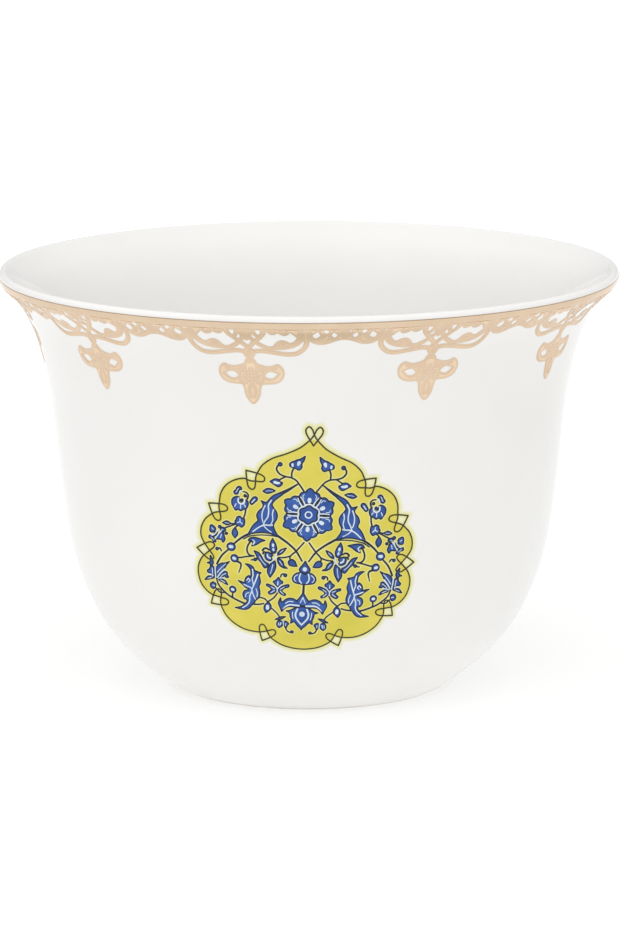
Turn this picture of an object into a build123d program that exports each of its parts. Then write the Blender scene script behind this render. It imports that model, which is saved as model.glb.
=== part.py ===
from build123d import *
import math
import os

# Handleless porcelain coffee cup with a flared rim, a gold lace border under
# the rim and a printed medallion on two opposite sides.
# Frame: +Z up through the axis of the cup, Z = 0 on the ring it stands on,
# the first medallion faces -Y.  Millimetres.

# ---------------------------------------------------------------- dimensions
RIM_R = 37.06           # widest radius, at the tip of the flared rim
LIP_Z = 50.0            # height of the lip's centre
LIP_R = 0.60            # rounding of the lip
LIP_TURN = 131.0        # degrees the rounding goes from the tip to the inside
GLAZE_T = 0.20          # glaze on the wall
WELL_GLAZE_T = 0.15     # glaze inside the foot ring
LAYER_T = 0.06          # one printed enamel layer
GOLD_T = 0.08           # gold of the rim band and the border

GLAZE_FOOT_Z = 0.45     # the outside glaze ends this high above the table
FOOT_R_OUT = 16.0       # the ring it stands on
FOOT_R_IN = 14.4

# outside of the glazed wall: (radius, height)
OUTSIDE = [
    (17.24, GLAZE_FOOT_Z), (17.97, 1.0), (19.28, 2.0), (21.07, 3.5),
    (23.05, 5.5), (24.97, 8.0), (26.54, 11.0), (27.90, 14.5), (28.89, 18.5),
    (29.56, 23.0), (30.14, 28.0), (30.64, 33.0), (31.28, 37.5), (32.10, 41.0),
    (32.90, 43.5), (33.80, 45.5), (34.64, 46.85), (35.56, 47.9),
    (36.34, 48.6), (36.83, 49.15), (RIM_R, LIP_Z),
]

# wall thickness, glaze included, against height
WALL = [
    (3.5, 2.70), (5.5, 2.60), (8.0, 2.45), (11.0, 2.35), (20.0, 2.25),
    (30.0, 2.20), (40.0, 2.10), (44.0, 1.97), (46.5, 1.80), (48.56, 1.60),
    (LIP_Z, 2 * LIP_R),
]
FLOOR = [(0.0, 4.30), (6.0, 4.33), (11.0, 4.47), (15.3, 4.83)]

# foot well: (radius, height) of the porcelain above it
WELL = [(0.0, 1.75), (6.0, 1.72), (10.8, 1.60), (12.7, 1.30), (13.6, 0.72)]

# gold, measured along the wall down from the top of the band
BAND_TOP_Z = 49.95
BAND_W = 1.0            # plain band
REPEATS = 10            # repeats of the border round the cup
REPEAT_0 = -11.5        # degrees from the front to the nearest pendant
LACE_R = 34.0           # radius the border is drawn at

# medallion
MED_R = 29.5            # radius the medallion is drawn at
MED_U0 = -0.17          # rosette centre, sideways from the front
MED_S0 = 25.16          # and down the wall from the top of the gold band
MED_TILT = 3.3          # degrees, the top leans to the right
HALO_W = 0.62           # pale edge outside the contour line
LINE_W = 0.26           # contour line


# ------------------------------------------------------------------ profiles
def lerp(table, x):
    if x <= table[0][0]:
        return table[0][1]
    for (x0, y0), (x1, y1) in zip(table, table[1:]):
        if x <= x1:
            return y0 + (y1 - y0) * (x - x0) / (x1 - x0)
    return table[-1][1]


def beside(edge, amount, count, start=0.0, end=1.0):
    """points beside a climbing profile, amount outwards along its normal"""
    out = []
    for i in range(count + 1):
        t = start + (end - start) * i / count
        p, g = edge.position_at(t), edge.tangent_at(t)
        a = amount(p.Z) if callable(amount) else amount
        out.append((p.X + a * g.Z, 0.0, p.Z - a * g.X))
    return out


def flat(points):
    return [(r, 0.0, z) for r, z in points]


UP = (0, 0, 1)
outside = Spline(*flat(OUTSIDE), tangents=[(1.33, 0, 1.0), UP])
outside_b = Spline(*beside(outside, -GLAZE_T, 40))


def on_lip(radius, turn):
    a = math.radians(turn)
    return (RIM_R - LIP_R + radius * math.cos(a), 0,
            LIP_Z + radius * math.sin(a))


# the lip is rounded from the tip to where it meets the inside of the flare
lip = ThreePointArc(on_lip(LIP_R, 0), on_lip(LIP_R, LIP_TURN / 2),
                    on_lip(LIP_R, LIP_TURN))
lip_b = ThreePointArc(on_lip(LIP_R - GLAZE_T, 0),
                      on_lip(LIP_R - GLAZE_T, LIP_TURN / 2),
                      on_lip(LIP_R - GLAZE_T, LIP_TURN))
ALONG = (math.sin(math.radians(LIP_TURN)), 0, -math.cos(math.radians(LIP_TURN)))

wall_in = []
for i in range(61):
    t = i / 60
    p, g = outside.position_at(t), outside.tangent_at(t)
    if p.Z < 3.4:
        continue
    a = lerp(WALL, p.Z)
    wall_in.append((p.X - a * g.Z, p.Z + a * g.X))
wall_in = [q for i, q in enumerate(wall_in) if i % 4 == 0 and q[1] < 49.4]
inside = Spline(*(flat(FLOOR + wall_in) + [on_lip(LIP_R, LIP_TURN)]),
                tangents=[(1, 0, 0), ALONG])
inside_b = Spline(*(beside(inside, GLAZE_T, 60)[:-1]
                    + [on_lip(LIP_R - GLAZE_T, LIP_TURN)]),
                  tangents=[(1, 0, 0), ALONG])

well = Spline(*flat(WELL), tangents=[(1, 0, 0), (0.6, 0, -1)])
well_g = Spline(*[(p[0], 0.0, p[2]) for p in beside(well, WELL_GLAZE_T, 20)],
                tangents=[(1, 0, 0), (0.6, 0, -1)])


def turned(edges):
    return revolve(make_face(Wire(edges)), Axis.Z, 360)


def joined(a, b):
    return Line(a, b)


# ------------------------------------------------------------ body and glaze
foot_curve = Spline((FOOT_R_OUT, 0, 0), outside_b @ 0,
                    tangents=[(1, 0, 0.05), (1.33, 0, 1.0)])
foot_inner = Spline(well @ 1, (FOOT_R_IN, 0, 0),
                    tangents=[(0.6, 0, -1), (1, 0, -0.05)])
porcelain_body = turned([
    foot_curve, outside_b, lip_b, inside_b,
    joined(inside_b @ 0, well @ 0), well, foot_inner,
    joined((FOOT_R_IN, 0, 0), (FOOT_R_OUT, 0, 0)),
])
glaze_coat = turned([
    joined(outside_b @ 0, outside @ 0), outside, lip, inside,
    joined(inside @ 0, inside_b @ 0), inside_b, lip_b, outside_b,
])
foot_well_glaze = turned([
    joined(well @ 0, well_g @ 0), well_g, joined(well_g @ 1, well @ 1), well,
])

# ------------------------------------------- thin layers on the glazed wall
LENGTH = outside.length
# parameter of the wall's profile against height
steps = [(outside.position_at(i / 400).Z, i / 400) for i in range(401)]
# length of the wall from the foot against parameter, and back
run = [0.0]
for i in range(400):
    a, b = outside.position_at(i / 400), outside.position_at((i + 1) / 400)
    run.append(run[-1] + (b - a).length)


def at_height(z):
    return lerp(steps, z)


def at_down(s):
    """parameter of the wall s below the top of the gold band"""
    top = lerp([(i / 400, run[i]) for i in range(401)], at_height(BAND_TOP_Z))
    return lerp([(run[i], i / 400) for i in range(401)], top - s)


down_table = [(i * 0.25, at_down(i * 0.25)) for i in range(181)]


def on_wall(s):
    p = outside.position_at(lerp(down_table, s))
    return p.X, p.Z


def shell(s_top, s_end, inner, outer, arc=360.0):
    """thin layer of the wall between two distances down from the band's top"""
    t0, t1 = at_down(s_end), at_down(s_top)
    if inner == 0:
        low = outside.trim(t0, t1)
    else:
        low = Spline(*beside(outside, inner, 24, t0, t1))
    high = Spline(*beside(outside, outer, 24, t0, t1))
    face = make_face(Wire([low, joined(low @ 1, high @ 1), high,
                           joined(high @ 0, low @ 0)]))
    return revolve(face, Axis.Z, arc)


gold_rim_band = shell(0.0, BAND_W, 0, GOLD_T)


def polygon_prism(points, near=-45.0, deep=25.0):
    """block with this outline in X and Z, standing in front of the wall"""
    wire = Polyline(*[(x, near, z) for x, z in points], close=True)
    return extrude(make_face(wire), amount=deep, dir=(0, 1, 0))


def drawn(points, radius, u0=0.0, s0=0.0, tilt=0.0):
    """flat drawing (right, up) to X and Z of the wall it lies on"""
    c, k = math.cos(math.radians(tilt)), math.sin(math.radians(tilt))
    out = []
    for p, q in points:
        u, v = u0 + p * c + q * k, -p * k + q * c
        r, z = on_wall(s0 - v)
        out.append((r * math.sin(u / radius), z))
    return out


def smooth(points, per=6, closed=False):
    """points along a smooth curve through the given ones"""
    n = len(points)
    out = []
    last = n if closed else n - 1
    for i in range(last):
        if closed:
            a, b, c, d = (points[(i + k) % n] for k in (-1, 0, 1, 2))
        else:
            b, c = points[i], points[i + 1]
            a = points[i - 1] if i else b
            d = points[i + 2] if i + 2 < n else c
        for j in range(per):
            t = j / per
            out.append(tuple(
                0.5 * (2 * b[k] + (c[k] - a[k]) * t
                       + (2 * a[k] - 5 * b[k] + 4 * c[k] - d[k]) * t * t
                       + (3 * b[k] - a[k] - 3 * c[k] + d[k]) * t ** 3)
                for k in (0, 1)))
    if not closed:
        out.append(points[-1])
    return out


# ------------------------------------------------------------- gold border
HALF = LACE_R * math.pi / REPEATS
festoon = smooth([(HALF, -2.55), (10.4, -3.05), (9.0, -3.35), (7.6, -3.05),
                  (6.9, -3.7), (6.2, -4.9), (4.9, -5.5), (2.8, -5.3),
                  (1.1, -5.4), (0.62, -6.2), (0.62, -6.7), (1.7, -7.1),
                  (2.6, -6.8), (3.35, -6.7), (3.95, -7.4), (3.7, -8.6),
                  (2.6, -9.3), (1.35, -9.2), (0.95, -10.3), (0.55, -11.4),
                  (0.0, -11.9)], per=3)
right = [(HALF + 1.5, -BAND_W), (HALF + 1.5, -2.55)] + festoon
border_outline = right + [(-p, q) for p, q in reversed(right[:-1])]
open_side = [(1.9, -2.2), (3.2, -2.0), (4.7, -2.0), (5.6, -2.5), (5.3, -3.6),
             (4.3, -4.5), (2.9, -4.4), (2.3, -3.3)]
open_mid = [(0.0, -3.4), (0.75, -4.3), (0.0, -5.0), (-0.75, -4.3)]
open_leaf = [(1.25, -7.9), (2.2, -7.7), (3.0, -8.0), (2.2, -8.6)]
border_shell = shell(BAND_W, 12.2, 0, GOLD_T)
repeat = polygon_prism(drawn(border_outline, LACE_R))
for hole in (open_side, open_mid, open_leaf):
    for side in ((1, -1) if hole is not open_mid else (1,)):
        pts = smooth([(side * p, q) for p, q in hole], per=3, closed=True)
        repeat -= polygon_prism(drawn(pts, LACE_R))
piece = border_shell & repeat
# one repeat ends on the planes half way to its neighbours
reach = 60.0
tan_half = math.tan(math.pi / REPEATS)
wedge = extrude(make_face(Polyline((0, 0, 30), (-reach * tan_half, -reach, 30),
                                   (reach * tan_half, -reach, 30),
                                   close=True)), amount=30, dir=(0, 0, 1))
piece = piece & wedge
gold_lace_border = None
for i in range(REPEATS):
    turn = REPEAT_0 + i * 360.0 / REPEATS
    copy = piece.rotate(Axis.Z, turn)
    gold_lace_border = copy if gold_lace_border is None else gold_lace_border + copy

# --------------------------------------------------------------- medallion
CONTOUR = [
    [(0.0, 9.6), (0.9, 8.4), (2.2, 7.5), (4.0, 6.6), (5.3, 5.6), (5.95, 4.7),
     (6.2, 4.0)],
    [(6.2, 4.0), (7.4, 3.95), (8.6, 3.5), (9.7, 2.75), (10.25, 1.5),
     (10.35, 0.1)],
    [(10.35, 0.1), (11.2, -0.75), (12.1, -1.9), (12.35, -3.0), (12.05, -4.3),
     (11.6, -5.4)],
    [(11.6, -5.4), (12.4, -6.3), (12.85, -7.5), (12.87, -8.7), (12.35, -10.1),
     (10.9, -11.2)],
    [(10.9, -11.2), (10.3, -12.3), (9.6, -13.7), (8.2, -14.8), (6.3, -15.5),
     (4.9, -15.5)],
    [(4.9, -15.5), (4.0, -16.2), (1.9, -17.1), (0.0, -17.4)],
]
half = []
for lobe in CONTOUR:
    half += smooth(lobe, per=3)[:-1]
half.append((0.0, -17.4))
contour = half + [(-p, q) for p, q in reversed(half[1:-1])]


def moved_out(points, amount):
    """the closed outline, moved outwards along its own normals"""
    n = len(points)
    out = []
    for i in range(n):
        (x0, y0), (x1, y1) = points[i - 1], points[(i + 1) % n]
        dx, dy = x1 - x0, y1 - y0
        size = math.hypot(dx, dy)
        out.append((points[i][0] - amount * dy / size,
                    points[i][1] + amount * dx / size))
    return out


def clear_of(points, shape, amount):
    """the points that lie at least this far from every corner of a shape"""
    return [p for p in points
            if min(math.hypot(p[0] - x, p[1] - y) for x, y in shape) > amount]


def blob(cx, cy, rx, ry, turn=0.0, count=16):
    c, s = math.cos(math.radians(turn)), math.sin(math.radians(turn))
    return [(cx + rx * math.cos(a) * c - ry * math.sin(a) * s,
             cy + rx * math.cos(a) * s + ry * math.sin(a) * c)
            for a in (2 * math.pi * i / count for i in range(count))]


def leaf(x0, y0, x1, y1, width):
    """pointed leaf from one point to another"""
    dx, dy = x1 - x0, y1 - y0
    size = math.hypot(dx, dy)
    nx, ny = -dy / size * width / 2, dx / size * width / 2
    side_a = [(x0 + dx * t + nx * k, y0 + dy * t + ny * k)
              for t, k in ((0, 0), (0.2, 0.7), (0.45, 1), (0.75, 0.6))]
    side_b = [(x0 + dx * t - nx * k, y0 + dy * t - ny * k)
              for t, k in ((1, 0), (0.75, 0.6), (0.45, 1), (0.2, 0.7))]
    return side_a + side_b


def mirrored(shapes):
    return shapes + [[(-p, q) for p, q in reversed(s)] for s in shapes]


petals = [blob(2.05 * math.sin(a), 2.05 * math.cos(a), 0.80, 0.86,
               -math.degrees(a))
          for a in (math.pi / 3 * i for i in range(6))]
lotus = [(0.0, -9.4), (0.7, -10.2), (2.2, -10.3), (2.7, -11.3), (1.7, -12.0),
         (1.5, -13.2), (0.0, -14.4), (-1.5, -13.2), (-1.7, -12.0),
         (-2.7, -11.3), (-2.2, -10.3), (-0.7, -10.2)]
blue = petals + [blob(0, 0, 0.85, 0.85), lotus,
                 leaf(0, -5.7, 0, -7.6, 1.5)] + mirrored([
    leaf(3.0, 2.6, 6.6, -2.2, 1.5),          # half palmette
    leaf(1.6, 5.0, 0.9, 6.6, 0.9),           # top bud
    leaf(2.7, 4.4, 3.6, 3.4, 0.7),
    blob(7.9, 1.4, 1.15, 1.0),               # upper blossom
    blob(7.7, -1.2, 0.6, 0.6),
    blob(10.4, -2.9, 0.95, 0.9),             # outer blossom
    blob(4.2, -5.4, 1.3, 1.3),               # star flower
    leaf(6.1, -11.2, 7.0, -6.6, 1.5),        # curved leaf
    blob(3.4, -9.0, 0.95, 0.95),             # small blossom
    leaf(9.8, -6.2, 10.9, -9.3, 1.7),        # side flower
    blob(2.8, -14.0, 0.7, 0.7),
])
white = [blob(1.75 * math.sin(a), 1.75 * math.cos(a), 0.2, 0.24)
         for a in (math.pi / 3 * i for i in range(6))]
white += [blob(0, 0, 0.3, 0.3), blob(0, -11.9, 0.4, 0.5)]
white += mirrored([blob(7.9, 1.45, 0.3, 0.3), blob(10.4, -2.9, 0.25, 0.25),
                   blob(4.2, -5.4, 0.35, 0.35), blob(3.4, -9.0, 0.25, 0.25)])


def layer(index, outlines, holes=()):
    """prints cut from one layer; index counts layers up from the glaze"""
    skin = shell(12.5, 45.0, index * LAYER_T, (index + 1) * LAYER_T)
    solids = []
    for outline in outlines:
        block = polygon_prism(drawn(outline, MED_R, MED_U0, MED_S0, MED_TILT))
        for hole in holes:
            block -= polygon_prism(drawn(hole, MED_R, MED_U0, MED_S0, MED_TILT))
        solids += (skin & block).solids()
    return solids


front = {
    "halo": layer(0, [clear_of(moved_out(contour, HALO_W), contour,
                               0.93 * HALO_W)]),
    "line": layer(1, [moved_out(contour, LINE_W / 2)],
                  [moved_out(contour, -LINE_W / 2)]),
    "ground": layer(1, [moved_out(contour, -LINE_W / 2)]),
    "blue": layer(2, blue),
    "white": layer(3, white),
}

nodes = {
    "porcelain_body": porcelain_body,
    "glaze_coat": glaze_coat,
    "foot_well_glaze": foot_well_glaze,
    "gold_rim_band": gold_rim_band,
    "gold_lace_border": gold_lace_border,
}
for name, solids in front.items():
    nodes["front_medallion_" + name] = Compound(children=solids)
    nodes["back_medallion_" + name] = Compound(
        children=[s.rotate(Axis.Z, 180) for s in solids])

os.makedirs("parts", exist_ok=True)
for name, shape in nodes.items():
    export_step(shape, os.path.join("parts", name + ".step"))
    print(name, len(shape.solids()), round(sum(s.volume for s in shape.solids()), 3))
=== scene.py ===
"""Arabic coffee cup: a small handleless porcelain cup with a flared rim, a gold lace border and a printed medallion.

Lengths in this file are millimetres until a mesh is made, and the frame is the CAD's: +Z up along the axis of the
cup, the foot ring on z = 0, the medallion in front facing -Y. The ornament is drawn flat, on the unrolled outside of
the cup, and laid on the turned surface afterwards.
"""

import math

import bpy
import numpy as np
from mathutils import Matrix, Vector, geometry


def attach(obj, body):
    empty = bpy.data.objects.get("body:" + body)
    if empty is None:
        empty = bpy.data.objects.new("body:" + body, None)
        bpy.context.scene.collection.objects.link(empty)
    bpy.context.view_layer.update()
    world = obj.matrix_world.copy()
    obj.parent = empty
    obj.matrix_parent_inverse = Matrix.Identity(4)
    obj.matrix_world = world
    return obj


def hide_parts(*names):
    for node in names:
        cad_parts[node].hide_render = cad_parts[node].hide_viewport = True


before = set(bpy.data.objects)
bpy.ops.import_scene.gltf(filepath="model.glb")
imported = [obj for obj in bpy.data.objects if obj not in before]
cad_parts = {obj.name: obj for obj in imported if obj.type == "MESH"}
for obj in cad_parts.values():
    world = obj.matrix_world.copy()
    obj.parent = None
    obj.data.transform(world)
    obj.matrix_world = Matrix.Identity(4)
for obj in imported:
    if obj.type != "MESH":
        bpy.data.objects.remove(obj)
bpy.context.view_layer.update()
MM = 0.001

# ---------------------------------------------------------------- the turned profile, as in the CAD

GLAZE_T = 0.20
BAND_TOP_Z = 49.95
BAND_W = 1.0
LIP_Z, LIP_MID, LIP_R, LIP_TURN = 50.0, 36.46, 0.60, 131.0
OUTSIDE = [
    (17.24, 0.45), (17.97, 1.0), (19.28, 2.0), (21.07, 3.5), (23.05, 5.5), (24.97, 8.0), (26.54, 11.0),
    (27.90, 14.5), (28.89, 18.5), (29.56, 23.0), (30.14, 28.0), (30.64, 33.0), (31.28, 37.5), (32.10, 41.0),
    (32.90, 43.5), (33.80, 45.5), (34.64, 46.85), (35.56, 47.9), (36.34, 48.6), (36.83, 49.15), (37.06, 50.0),
]
WALL = [
    (3.5, 2.70), (5.5, 2.60), (8.0, 2.45), (11.0, 2.35), (20.0, 2.25), (30.0, 2.20), (40.0, 2.10), (44.0, 1.97),
    (46.5, 1.80), (48.56, 1.60), (50.0, 1.20),
]
FLOOR = [(0.0, 4.30), (6.0, 4.33), (11.0, 4.47), (15.3, 4.83)]
WELL = [(0.0, 1.75), (6.0, 1.72), (10.8, 1.60), (12.7, 1.30), (13.6, 0.72)]


def clamped(points, start, end, count):
    """Cubic spline through the points with given end directions; count samples and their unit tangents."""
    p = np.array(points, float)
    h = np.hypot(*np.diff(p, axis=0).T)
    k = np.r_[0.0, np.cumsum(h)]
    n = len(p)
    a, b = np.zeros((n, n)), np.zeros((n, 2))
    a[0, 0] = a[-1, -1] = 1.0
    b[0] = np.array(start) / np.hypot(*start)
    b[-1] = np.array(end) / np.hypot(*end)
    for i in range(1, n - 1):
        a[i, i - 1], a[i, i], a[i, i + 1] = h[i], 2 * (h[i - 1] + h[i]), h[i - 1]
        b[i] = 3 * (h[i] * (p[i] - p[i - 1]) / h[i - 1] + h[i - 1] * (p[i + 1] - p[i]) / h[i])
    d = np.linalg.solve(a, b)
    t = np.linspace(0.0, k[-1], count)
    i = np.clip(np.searchsorted(k, t, "right") - 1, 0, n - 2)
    w, g = ((t - k[i]) / h[i])[:, None], h[i][:, None]
    pos = (
        (2 * w**3 - 3 * w**2 + 1) * p[i] + (w**3 - 2 * w**2 + w) * g * d[i]
        + (3 * w**2 - 2 * w**3) * p[i + 1] + (w**3 - w**2) * g * d[i + 1]
    )
    tan = (
        (6 * w**2 - 6 * w) * p[i] / g + (3 * w**2 - 4 * w + 1) * d[i]
        + (6 * w - 6 * w**2) * p[i + 1] / g + (3 * w**2 - 2 * w) * d[i + 1]
    )
    return pos, tan / np.linalg.norm(tan, axis=1)[:, None]


def shifted(pos, tan, distance):
    """The curve moved sideways; a climbing outside moves outward for a positive distance."""
    return pos + np.c_[tan[:, 1], -tan[:, 0]] * np.broadcast_to(distance, len(pos))[:, None]


OUT, OUT_T = clamped(OUTSIDE, (1.33, 1.0), (0.0, 1.0), 3000)
wall_line = shifted(OUT, OUT_T, -np.interp(OUT[:, 1], *np.array(WALL).T))
wall_line = [tuple(q) for q in wall_line[OUT[:, 1] >= 3.4][::75] if q[0] > 16.6 and 5.2 < q[1] < 49.6]
lip_end = math.radians(LIP_TURN)
wall_line.append((LIP_MID + LIP_R * math.cos(lip_end), LIP_Z + LIP_R * math.sin(lip_end)))
INN, INN_T = clamped(FLOOR + wall_line, (1.0, 0.0), (math.sin(lip_end), -math.cos(lip_end)), 3000)

# distance down the outside from the top of the gold band
length = np.r_[0.0, np.cumsum(np.hypot(*np.diff(OUT, axis=0).T))]
DOWN = np.interp(BAND_TOP_Z, OUT[:, 1], length) - length
order = np.argsort(DOWN)
DOWN_S, DOWN_R, DOWN_Z = DOWN[order], OUT[order, 0], OUT[order, 1]
DOWN_NR, DOWN_NZ = OUT_T[order, 1], -OUT_T[order, 0]


def on_glaze(turn, s, height=0.0):
    """Points on the outside: turn in radians from the front, s down from the band's top, height above the glaze."""
    r, z = np.interp(s, DOWN_S, DOWN_R), np.interp(s, DOWN_S, DOWN_Z)
    nr, nz = np.interp(s, DOWN_S, DOWN_NR), np.interp(s, DOWN_S, DOWN_NZ)
    rr = r + height * nr
    return np.c_[rr * np.sin(turn), -rr * np.cos(turn), z + height * nz]


def glaze_axes(turn, s):
    """Outward normal, the direction of growing turn and the direction up the outside, at the same points."""
    nr, nz = np.interp(s, DOWN_S, DOWN_NR), np.interp(s, DOWN_S, DOWN_NZ)
    zero = np.zeros_like(nr)
    normal = np.c_[nr * np.sin(turn), -nr * np.cos(turn), nz]
    right = np.c_[np.cos(turn), np.sin(turn), zero]
    up = np.c_[-nz * np.sin(turn), nz * np.cos(turn), nr]
    return normal, right, up


# ---------------------------------------------------------------- meshes


def new_object(name, verts, faces, material):
    mesh = bpy.data.meshes.new(name)
    mesh.from_pydata((np.asarray(verts) * MM).tolist(), [], faces)
    mesh.materials.append(material)
    mesh.polygons.foreach_set("use_smooth", np.ones(len(mesh.polygons), bool))
    obj = bpy.data.objects.new(name, mesh)
    bpy.context.scene.collection.objects.link(obj)
    return obj


def thinned(points, most, bend):
    """Fewer points on a dense polyline: none further apart than most, nor turning more than bend degrees."""
    p = np.asarray(points, float)
    step = np.diff(p, axis=0)
    along = np.hypot(*step.T)
    heading = np.unwrap(np.arctan2(step[:, 1], step[:, 0]))
    keep, run, last = [0], 0.0, heading[0]
    for i in range(1, len(p) - 1):
        run += along[i - 1]
        if run >= most or abs(heading[i] - last) > math.radians(bend):
            keep.append(i)
            run, last = 0.0, heading[i]
    keep.append(len(p) - 1)
    return p[keep]


def lathe(name, loop, count, material, sharp=40.0):
    """A closed profile turned about the axis, with an unrolled map for baking."""
    p = np.asarray(loop, float)
    n = len(p)
    turn = np.arange(count) * (2 * math.pi / count)
    first, verts = [], []
    total = 0
    for r, z in p:
        first.append(total)
        if r < 1e-6:
            verts.append(np.array([[0.0, 0.0, z]]))
            total += 1
        else:
            verts.append(np.c_[r * np.sin(turn), -r * np.cos(turn), np.full(count, z)])
            total += count
    verts = np.vstack(verts)
    area = np.sum(p[:, 0] * np.roll(p[:, 1], -1) - np.roll(p[:, 0], -1) * p[:, 1])
    along = np.r_[0.0, np.cumsum(np.hypot(*np.diff(np.vstack([p, p[:1]]), axis=0).T))]
    along /= along[-1]
    faces, maps = [], []
    for i in range(n):
        j = (i + 1) % n
        pole_i, pole_j = p[i, 0] < 1e-6, p[j, 0] < 1e-6
        if pole_i and pole_j:
            continue
        for c in range(count):
            d = (c + 1) % count
            u0, u1, v0, v1 = c / count, (c + 1) / count, along[i], along[i + 1]
            if pole_i:
                face = [first[i], first[j] + d, first[j] + c]
                uv = [((u0 + u1) / 2, v0), (u1, v1), (u0, v1)]
            elif pole_j:
                face = [first[i] + c, first[i] + d, first[j]]
                uv = [(u0, v0), (u1, v0), ((u0 + u1) / 2, v1)]
            else:
                face = [first[i] + c, first[i] + d, first[j] + d, first[j] + c]
                uv = [(u0, v0), (u1, v0), (u1, v1), (u0, v1)]
            if area < 0:
                face.reverse()
                uv.reverse()
            faces.append(face)
            maps.extend(uv)
    obj = new_object(name, verts, faces, material)
    layer = obj.data.uv_layers.new(name="OFBake")
    layer.data.foreach_set("uv", np.array(maps, np.float32).ravel())
    obj.data.set_sharp_from_angle(angle=math.radians(sharp))
    return obj


# ---------------------------------------------------------------- flat drawing: distance fields


def flow(points, closed=False, per=10):
    """Smooth line through the points; a third value of 1 marks a sharp corner."""
    pts = [np.array(q[:2], float) for q in points]
    corner = [len(q) > 2 and q[2] == 1 for q in points]
    if closed and any(corner):
        k = corner.index(True)
        pts, corner = pts[k:] + pts[:k], corner[k:] + corner[:k]
        pts, corner, closed = pts + [pts[0]], corner + [True], False
        ring = True
    else:
        ring = False
    n = len(pts)
    out = []
    spans = n if closed else n - 1
    for i in range(spans):
        b, c = pts[i], pts[(i + 1) % n]
        if closed:
            a, d = pts[i - 1], pts[(i + 2) % n]
        else:
            a = pts[i - 1] if i > 0 and not corner[i] else b
            d = pts[i + 2] if i + 2 < n and not corner[i + 1] else c
        t = np.linspace(0, 1, per, endpoint=False)[:, None]
        lim_b, lim_c = (c - a) / 2, (d - b) / 2
        size = np.hypot(*(c - b))
        for m in (lim_b, lim_c):
            long = np.hypot(*m)
            if long > 1.15 * size:
                m *= 1.15 * size / long
        out.append(
            (2 * t**3 - 3 * t**2 + 1) * b + (t**3 - 2 * t**2 + t) * lim_b
            + (3 * t**2 - 2 * t**3) * c + (t**3 - t**2) * lim_c
        )
    if not closed and not ring:
        out.append(pts[-1][None])
    return np.vstack(out)


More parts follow.
